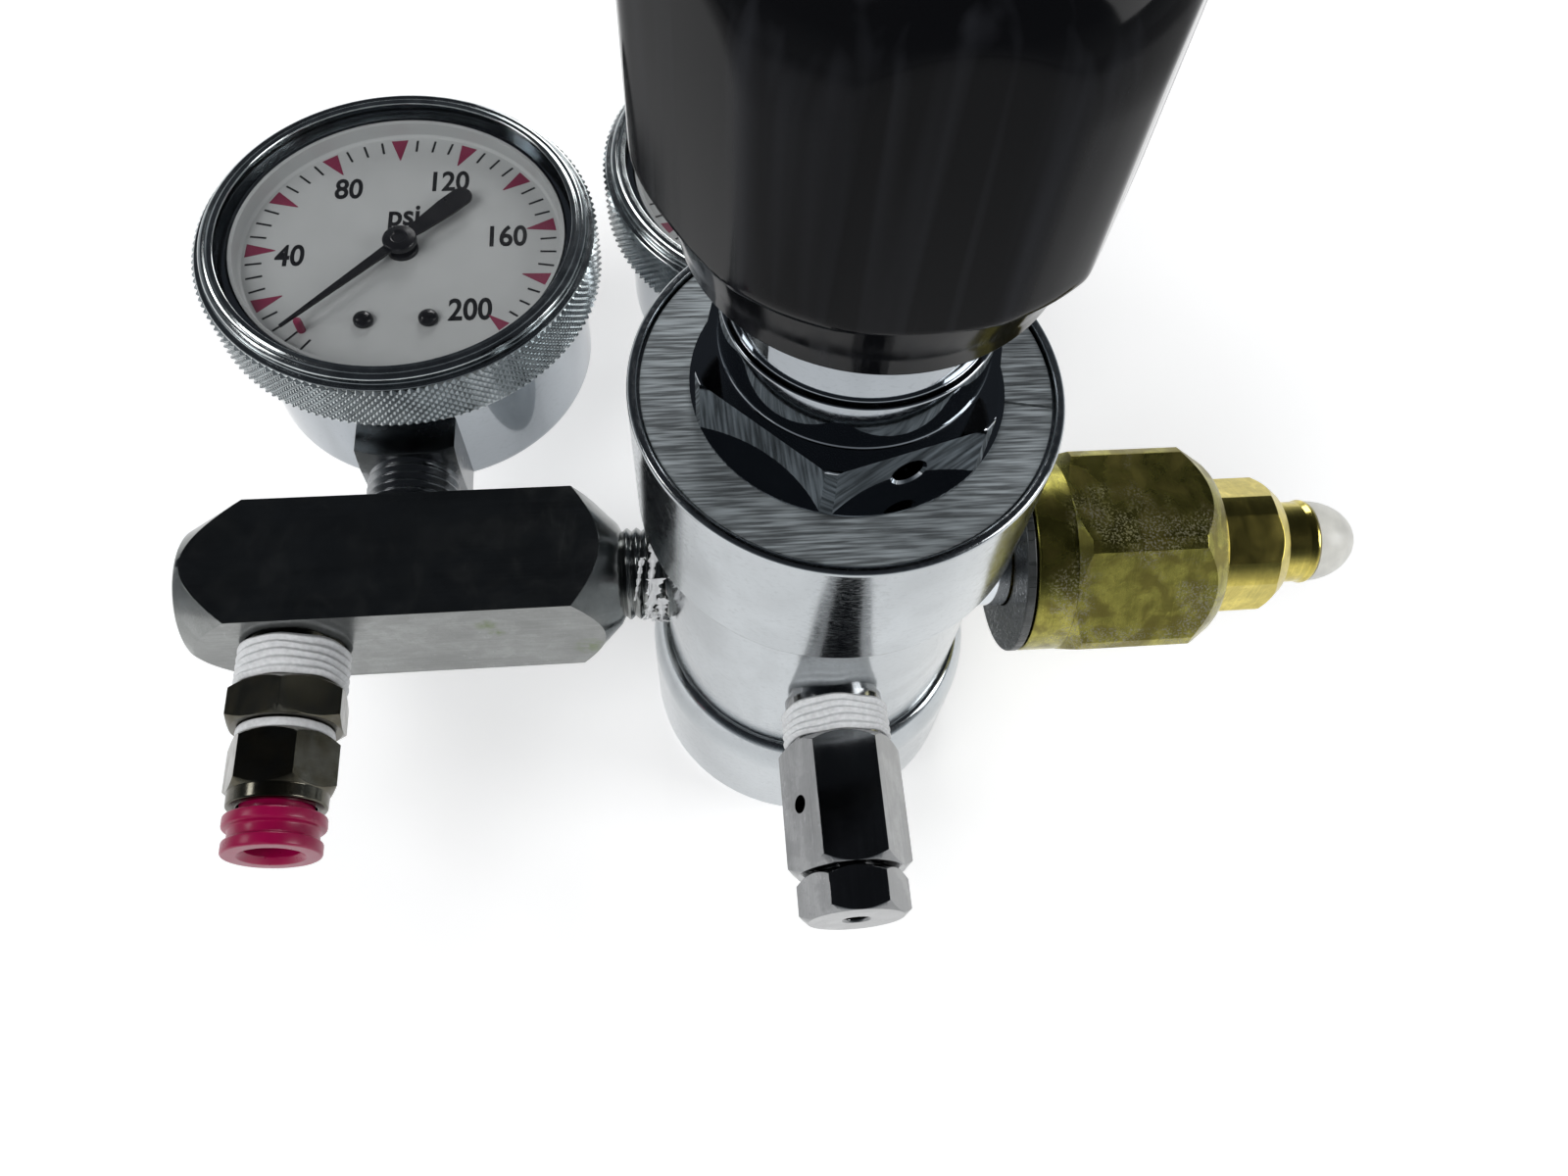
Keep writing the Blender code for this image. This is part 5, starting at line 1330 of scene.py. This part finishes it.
@dataclass
class Gauge(SubAssembly):
    """A two-inch dial gauge on a square stem."""

    prefix: str = "delivery"
    x: float = -59.3
    y: float = 48.325
    numbers: Tuple[str, ...] = ("40", "80", "120", "160", "200")
    number_places: Tuple[Tuple[float, float], ...] = (
        (-93.1, 16.4), (-35.8, 15.3), (24.1, 14.9), (82.7, 15.3), (139.4, 16.0))
    number_height: float = 4.1
    unit: str = "psi"
    unit_place: Tuple[float, float] = (-2.0, 6.7)
    unit_height: float = 4.3
    letter_width: float = 0.75
    letter_weight: float = 0.14
    print_height: float = 0.02
    case_radius: float = 25.8
    case_low: float = -9
    seat_radius: float = 26.3
    case_bore: float = 24.6
    bezel_radius: float = 29.2
    bezel_bore: float = 26.6
    lip_radius: float = 27.8
    lip_height: float = 1.4
    opening: float = 25.6
    band_low: float = 11.3
    band_high: float = 19.7
    dial_face: float = 16.1
    dial_radius: float = 24.3
    dial_bore: float = 2.0
    first_angle: float = -144.7
    step_angle: float = 27.97
    steps: int = 10
    marks_a_step: int = 4
    wedge: Tuple[float, float, float, float] = (22.9, 18.6, 2.6, 0.15)
    line: Tuple[float, float, float, float] = (22.8, 20.4, 0.34, 0.34)
    stop_radius: float = 19.9
    stop_turn: float = 228.5
    knurls: int = 150
    knurl_rows: int = 12
    knurl_height: float = 0.45
    needle_length: float = 22.1
    needle_turn: float = 135
    tail_width: float = 1.72
    hub_radius: float = 2.5
    screw_x: float = 4.6
    screw_y: float = -13.65
    screw_radius: float = 1.45
    stem_flats: float = 14.3
    stem_radius: float = 10.2

    def place(self) -> Matrix:
        """Gives the gauge's own frame: its dial's axis, up."""
        return Matrix.Translation((self.x, self.y, PORT_HEIGHT))

    def case(self) -> None:
        """Turns the chromed drum."""
        corners: List[Corner] = [
            (0, self.case_low), (self.case_radius, self.case_low, 2.5), (self.case_radius, 13.1, 0.1),
            (self.seat_radius, 13.1), (self.seat_radius, 19.1), (self.case_bore, 19.1),
            (self.case_bore, -7.8), (0, -7.8)]
        piece = turn(f"{self.prefix}_drum", corners, 160, 6)
        self.fit(settle(piece, self.place()), SHADED_CHROME, f"{self.prefix}_gauge_case")

    def teeth(self) -> Piece:
        """Makes the rows of small pyramids that stand on the bezel's band.

        Returns:
            All of them as one mesh.
        """
        let_go()
        middle = self.bezel_radius - self.knurl_height / 2
        bpy.ops.mesh.primitive_cone_add(vertices=4, radius1=0.64, radius2=0.12, depth=self.knurl_height,
                                        end_fill_type="TRIFAN", location=(middle, 0, 0),
                                        rotation=(0, math.pi / 2, 0))
        teeth = bpy.context.object
        edit(teeth)
        pitch = 2 * math.pi / self.knurls
        spacing = (self.band_high - self.band_low - 0.9) / self.knurl_rows
        bpy.ops.transform.translate(value=(0, 0, self.band_low + 0.45 + spacing / 2))
        for row in range(1, self.knurl_rows):
            bpy.ops.mesh.duplicate_move(TRANSFORM_OT_translate={"value": (0, 0, spacing)})
            bpy.ops.transform.rotate(value=(pitch / 2) * (1 if row % 2 else -1), orient_axis="Z",
                                     center_override=(0, 0, 0))
        bpy.ops.mesh.select_all(action="SELECT")
        bpy.ops.mesh.spin(steps=self.knurls - 1, dupli=True, angle=pitch * (self.knurls - 1),
                          center=(0, 0, 0), axis=(0, 0, 1))
        let_go()
        return teeth

    def bezel(self) -> None:
        """Turns the bezel and knurls its band."""
        band = self.bezel_radius - self.knurl_height
        top = self.band_high + self.lip_height
        corners: List[Corner] = [
            (self.bezel_bore, self.band_low), (band, self.band_low, 0.4), (band, self.band_high, 0.3),
            (self.lip_radius, self.band_high, 0.3), (self.lip_radius, top - 0.4, 0.45), (27.1, top, 0.35),
            (26.7, top - 0.2, 0.15), (26.3, top, 0.3), (self.opening, top - 0.05, 0.25),
            (self.opening, 20.75), (self.bezel_bore, 20.75)]
        ring = turn(f"{self.prefix}_bezel_ring", corners, 160, closed=True)
        piece = join([ring, self.teeth()], f"{self.prefix}_bezel_ring")
        self.fit(settle(piece, self.place(), 20.0), KNURLED, f"{self.prefix}_gauge_bezel")

    def window(self) -> None:
        """Turns the clear window."""
        corners: List[Corner] = [(0, 19.4), (self.seat_radius, 19.4), (self.seat_radius, 20.6, 0.2),
                                 (0, 20.6)]
        piece = turn(f"{self.prefix}_glass", corners, 128)
        self.fit(settle(piece, self.place()), WINDOW, f"{self.prefix}_gauge_window")

    def dial(self) -> None:
        """Turns the dial with its tall rim."""
        corners: List[Corner] = [
            (self.dial_bore, 15.3), (self.dial_radius, 15.3), (self.dial_radius, 18.8), (23.75, 18.8, 0.1),
            (23.75, 16.5, 0.3), (23.4, self.dial_face, 0.3), (self.dial_bore, self.dial_face)]
        plate = turn(f"{self.prefix}_dial_plate", corners, 128, closed=True)
        self.fit(settle(plate, self.place()), DIAL, f"{self.prefix}_gauge_dial")

    def scale(self) -> None:
        """Prints the scale, its numbers and unit, and adds a black disc under the hub and the pointer's stop.
        """
        black: List[Piece] = []
        red: List[Piece] = []
        for index in range(self.steps * self.marks_a_step + 1):
            angle = self.first_angle + self.step_angle * index / self.marks_a_step
            if index and index % self.marks_a_step == 0:
                red.append(self.mark(angle, *self.wedge))
            else:
                black.append(self.mark(angle, *self.line))
        for text, (angle, radius) in zip(self.numbers, self.number_places):
            black.append(self.word(text, angle, radius, self.number_height))
        black.append(self.word(self.unit, *self.unit_place, self.unit_height))
        face = self.dial_face
        # A black disc on the dial's face under the pointer's hub
        black.append(turn("hub_disc", [(1.2, face), (2.35, face), (2.3, face + 0.6, 0.2), (1.2, face + 0.6)], 48,
                          closed=True))
        stop = turn("stop", [(0, 15.6), (0.6, 15.6), (0.6, 18.3, 0.25), (0, 18.6)], 24)
        angle = math.radians(self.stop_turn)
        stop.location = (self.stop_radius * math.cos(angle), self.stop_radius * math.sin(angle), 0)
        take(stop)
        bpy.ops.object.transform_apply(location=True)
        red.append(stop)
        self.fit(settle(join(black, f"{self.prefix}_black_print"), self.place()), ENAMEL)
        self.fit(settle(join(red, f"{self.prefix}_red_print"), self.place()), RED_INK)

    def mark(self, angle: float, outer: float, inner: float, outer_width: float, inner_width: float) -> Piece:
        """Makes one mark of the scale.

        Args:
            angle: clockwise from the top of the dial, in degrees.
            outer: the radius of its outer end.
            inner: the radius of its inner end.
            outer_width: its width there.
            inner_width: its width at the inner end.

        Returns:
            A thin closed mesh on the dial's face.
        """
        let_go()
        middle = (outer + inner) / 2
        bpy.ops.mesh.primitive_cube_add(size=1.0, location=(0, middle, self.dial_face + 0.01))
        mark = bpy.context.object
        mark.scale = (1.0, outer - inner, 2 * self.print_height)
        bpy.ops.object.transform_apply(location=True, scale=True)
        for vertex in mark.data.vertices:
            vertex.co.x *= outer_width if vertex.co.y > middle else inner_width
        mark.matrix_world = Matrix.Rotation(-math.radians(angle), 4, "Z")
        bpy.ops.object.transform_apply(rotation=True)
        return mark

    def word(self, text: str, angle: float, radius: float, height: float) -> Piece:
        """Prints a number or unit on the dial, upright.

        Args:
            text: what it says.
            angle: where its middle lies, clockwise from the top, in degrees.
            radius: how far from the dial's middle.
            height: the height of a digit.

        Returns:
            A thin mesh on the dial's face.
        """
        let_go()
        turned = math.radians(angle)
        spot = (radius * math.sin(turned), radius * math.cos(turned), self.dial_face - 0.01)
        bpy.ops.object.text_add(location=spot)
        word = bpy.context.object
        word.data.body = text
        word.data.align_x = "CENTER"
        word.data.align_y = "CENTER"
        word.data.size = height * 1.38
        word.data.extrude = self.print_height
        word.data.offset = self.letter_weight
        word.data.resolution_u = 4
        word.scale = (self.letter_width, 1.0, 1.0)
        bpy.ops.object.convert(target="MESH")
        bpy.ops.object.transform_apply(location=True, rotation=True, scale=True)
        return word

    def blade(self) -> Piece:
        """Shapes the tapered needle with its rounded tail.

        Returns:
            The needle, above the dial's face and turned to zero.
        """
        tail = self.tail_width
        side = [(0.2, self.needle_length), (0.85, 2.0), (0.85, -1.5), (1.2, -3.5), (tail, -9.0)]
        mirrored = [(-across, along) for across, along in side]
        outline = mirrored[:1] + side + bow((0, -12.0), tail, 1.8, 0, -180, 12) + mirrored[::-1]
        blade = wire(f"{self.prefix}_needle", outline)
        bpy.ops.mesh.select_all(action="SELECT")
        bpy.ops.mesh.remove_doubles(threshold=WELD)
        bpy.ops.mesh.select_all(action="SELECT")
        bpy.ops.mesh.edge_face_add()
        bpy.ops.mesh.extrude_region_move(TRANSFORM_OT_translate={"value": (0, -0.45, 0)})
        bpy.ops.mesh.select_all(action="SELECT")
        bpy.ops.mesh.normals_make_consistent(inside=False)
        let_go()
        blade.matrix_world = (Matrix.Translation((0, 0, self.dial_face + 1.65))
                              @ Matrix.Rotation(math.radians(self.needle_turn), 4, "Z")
                              @ Matrix.Rotation(-math.pi / 2, 4, "X"))
        take(blade)
        bpy.ops.object.transform_apply(location=True, rotation=True)
        return soften(blade, 0.1, 2, 40)

    def pointer(self) -> None:
        """Joins the needle to its domed hub."""
        blade = self.blade()
        face, radius = self.dial_face, self.hub_radius
        hub = turn("hub", [(0, face + 1.7), (radius, face + 1.7), (radius, face + 2.5, 0.3),
                           (1.2, face + 2.75, 0.2), (1.0, face + 2.5), (0, face + 2.5)], 48)
        piece = settle(join([blade, hub], f"{self.prefix}_needle"), self.place())
        self.fit(piece, ENAMEL, f"{self.prefix}_gauge_pointer", body=f"{self.prefix}_pointer")

    def screws(self) -> None:
        """Turns the two domed dial screws."""
        for side_name, side in (("left", -1), ("right", 1)):
            corners: List[Corner] = [(0, 7.5), (0.8, 7.5), (0.8, 16.35), (self.screw_radius, 16.35)]
            corners += bow((0, 16.6), self.screw_radius, 0.9, 0, 80, 6) + [(0, 17.5)]
            piece = turn(f"{self.prefix}_screw_{side_name}", corners, 32)
            spot = self.place() @ Matrix.Translation((side * self.screw_x, self.screw_y, 0))
            self.fit(settle(piece, spot), BLACK_SCREW, f"{self.prefix}_dial_screw_{side_name}")

    def stem(self) -> None:
        """Mills the square stem and cuts its thread."""
        corners: List[Corner] = [(0, 7.5), (self.stem_radius, 7.5), (self.stem_radius, 29.7), (8.2, 30.6),
                                 (6.5, 30.8)]
        corners += thread(THREAD_RADIUS, 31.4, 45.0) + [(5.9, 45.7), (0, 45.7)]
        piece = soften(mill(turn(f"{self.prefix}_stem", corners, 96), self.stem_flats, 4, 45), 0.3, 2, 30)
        self.fit(settle(piece, self.place() @ Matrix.Rotation(math.pi / 2, 4, "X")), SOCKET,
                 f"{self.prefix}_gauge_socket")

    def build(self) -> None:
        """Builds the gauge and dresses its works."""
        self.case()
        self.bezel()
        self.window()
        self.dial()
        self.scale()
        self.pointer()
        self.screws()
        self.stem()
        for node in ("bourdon_tube", "gauge_movement"):
            self.keep(f"{self.prefix}_{node}", INNER_BRASS)
        self.keep(f"{self.prefix}_gauge_arbor", STEEL)


# Studio

@dataclass(frozen=True)
class Lamp:
    """A soft square lamp that points at the object; its spot and size are in metres."""

    name: str
    spot: Tuple[float, float, float]
    size: float
    power: float
    mirrored: bool = True

    def hang(self) -> None:
        """Adds the lamp to the scene, turned to the object's middle."""
        data = bpy.data.lights.new(self.name, "AREA")
        data.size = self.size
        data.energy = self.power
        item = bpy.data.objects.new(self.name, data)
        item.location = self.spot
        item.visible_glossy = self.mirrored
        aim = Vector((0, 0, 0.06)) - Vector(self.spot)
        item.rotation_euler = aim.to_track_quat("-Z", "Y").to_euler()
        bpy.context.scene.collection.objects.link(item)


@dataclass
class Studio:
    """Floor, light and camera. The floor's width and the nearest view are in metres."""

    eye: Tuple[float, float, float] = (-19.104, -79.908, 189.922)
    right: Tuple[float, float, float] = (0.99541919, -0.08165775, 0.04972576)
    up: Tuple[float, float, float] = (0.05002302, 0.88806819, 0.45698203)
    ahead: Tuple[float, float, float] = (0.08147599, 0.45240125, -0.88808489)
    lens: float = 26.572
    sensor: float = 36.0
    nearest: float = 0.005
    lamps: Tuple[Lamp, ...] = (Lamp("key_lamp", (-0.42, -0.42, 0.72), 0.60, 5.2, False),
                               Lamp("side_lamp", (0.70, -0.15, 0.42), 0.35, 2.4),
                               Lamp("window_lamp", (-0.55, 0.10, 0.50), 0.14, 0.35),
                               Lamp("back_lamp", (0.10, 0.75, 0.38), 0.35, 2.4))
    sky: Tuple[Tuple[float, Colour], ...] = ((0.0, (0.62, 0.64, 0.66)), (0.12, (0.40, 0.42, 0.44)),
                                             (0.32, (0.09, 0.10, 0.11)), (0.6, (0.03, 0.034, 0.04)),
                                             (1.0, (0.02, 0.022, 0.026)))
    floor_tone: float = 0.84
    floor_width: float = 6.0
    glow: float = 0.42

    def floor(self) -> None:
        """Lays a plain pale floor that shows white and keeps the object's shadow."""
        let_go()
        bpy.ops.mesh.primitive_plane_add(size=self.floor_width, location=(0, 0, -0.0002))
        floor = bpy.context.object
        floor.name = "floor"
        sheet = Sheet("pale_floor")
        sheet.shader.inputs["Base Color"].default_value = (*[self.floor_tone] * 3, 1.0)
        sheet.shader.inputs["Roughness"].default_value = 0.9
        sheet.shader.inputs["Specular IOR Level"].default_value = 0.1
        sheet.shader.inputs["Emission Color"].default_value = (1.0, 1.0, 1.0, 1.0)
        path = sheet.add("ShaderNodeLightPath")
        seen = path.outputs["Is Camera Ray"]
        for kind in ("Is Glossy Ray", "Is Transmission Ray"):
            either = sheet.add("ShaderNodeMath", operation="MAXIMUM")
            sheet.link(seen, either.inputs[0])
            sheet.link(path.outputs[kind], either.inputs[1])
            seen = either.outputs["Value"]
        sheet.link(sheet.ramp(seen, 0.0, 1.0, 0.0, self.glow), sheet.shader.inputs["Emission Strength"])
        floor.data.materials.append(sheet.material)

    def light(self) -> None:
        """Hangs the lamps and sets a world that is pale at the horizon and dark overhead."""
        for lamp in self.lamps:
            lamp.hang()
        world = bpy.data.worlds.new("studio")
        world.use_nodes = True
        bpy.context.scene.world = world
        nodes, links = world.node_tree.nodes, world.node_tree.links
        place = nodes.new("ShaderNodeTexCoord")
        split = nodes.new("ShaderNodeSeparateXYZ")
        half = nodes.new("ShaderNodeMath")
        half.operation = "MULTIPLY_ADD"
        half.inputs[1].default_value = 0.5
        half.inputs[2].default_value = 0.5
        ramp = nodes.new("ShaderNodeValToRGB")
        stops = ramp.color_ramp.elements
        stops[0].position, stops[0].color = 0.5, (*self.sky[0][1], 1)
        stops[1].position, stops[1].color = 1.0, (*self.sky[-1][1], 1)
        for height, colour in self.sky[1:-1]:
            stops.new(0.5 + height / 2).color = (*colour, 1)
        links.new(place.outputs["Generated"], split.inputs["Vector"])
        links.new(split.outputs["Z"], half.inputs[0])
        links.new(half.outputs["Value"], ramp.inputs["Fac"])
        links.new(ramp.outputs["Color"], nodes["Background"].inputs["Color"])

    def camera(self) -> None:
        """Stands the camera in front of the object and above it, looking down at it."""
        data = bpy.data.cameras.new("view")
        data.lens = self.lens
        data.sensor_width = self.sensor
        data.clip_start = self.nearest
        item = bpy.data.objects.new("view", data)
        back = -Vector(self.ahead)
        turned = Matrix((self.right, self.up, back)).transposed().to_4x4()
        item.matrix_world = Matrix.Translation(Vector(self.eye) * MM) @ turned
        bpy.context.scene.collection.objects.link(item)
        bpy.context.scene.camera = item

    def build(self) -> None:
        """Sets up floor, light, camera and the plain view transform."""
        self.floor()
        self.light()
        self.camera()
        bpy.context.scene.view_settings.view_transform = "Standard"


def main() -> None:
    """Builds the regulator in order, then its studio, and logs how many pieces each part made."""
    logging.basicConfig(level=logging.INFO, format="%(name)s %(message)s")
    contents = ("800", "1600", "2400", "3200", "4000")
    for part in (Barrel(), Knob(), Manifold(), Relief(), Inlet(), Gauge(),
                 Gauge(prefix="contents", x=0.0, y=61.3, numbers=contents)):
        part.build()
        LOG.info("%s done: %d pieces", type(part).__name__, len(part.made))
    Studio().build()


if __name__ == "__main__":
    main()
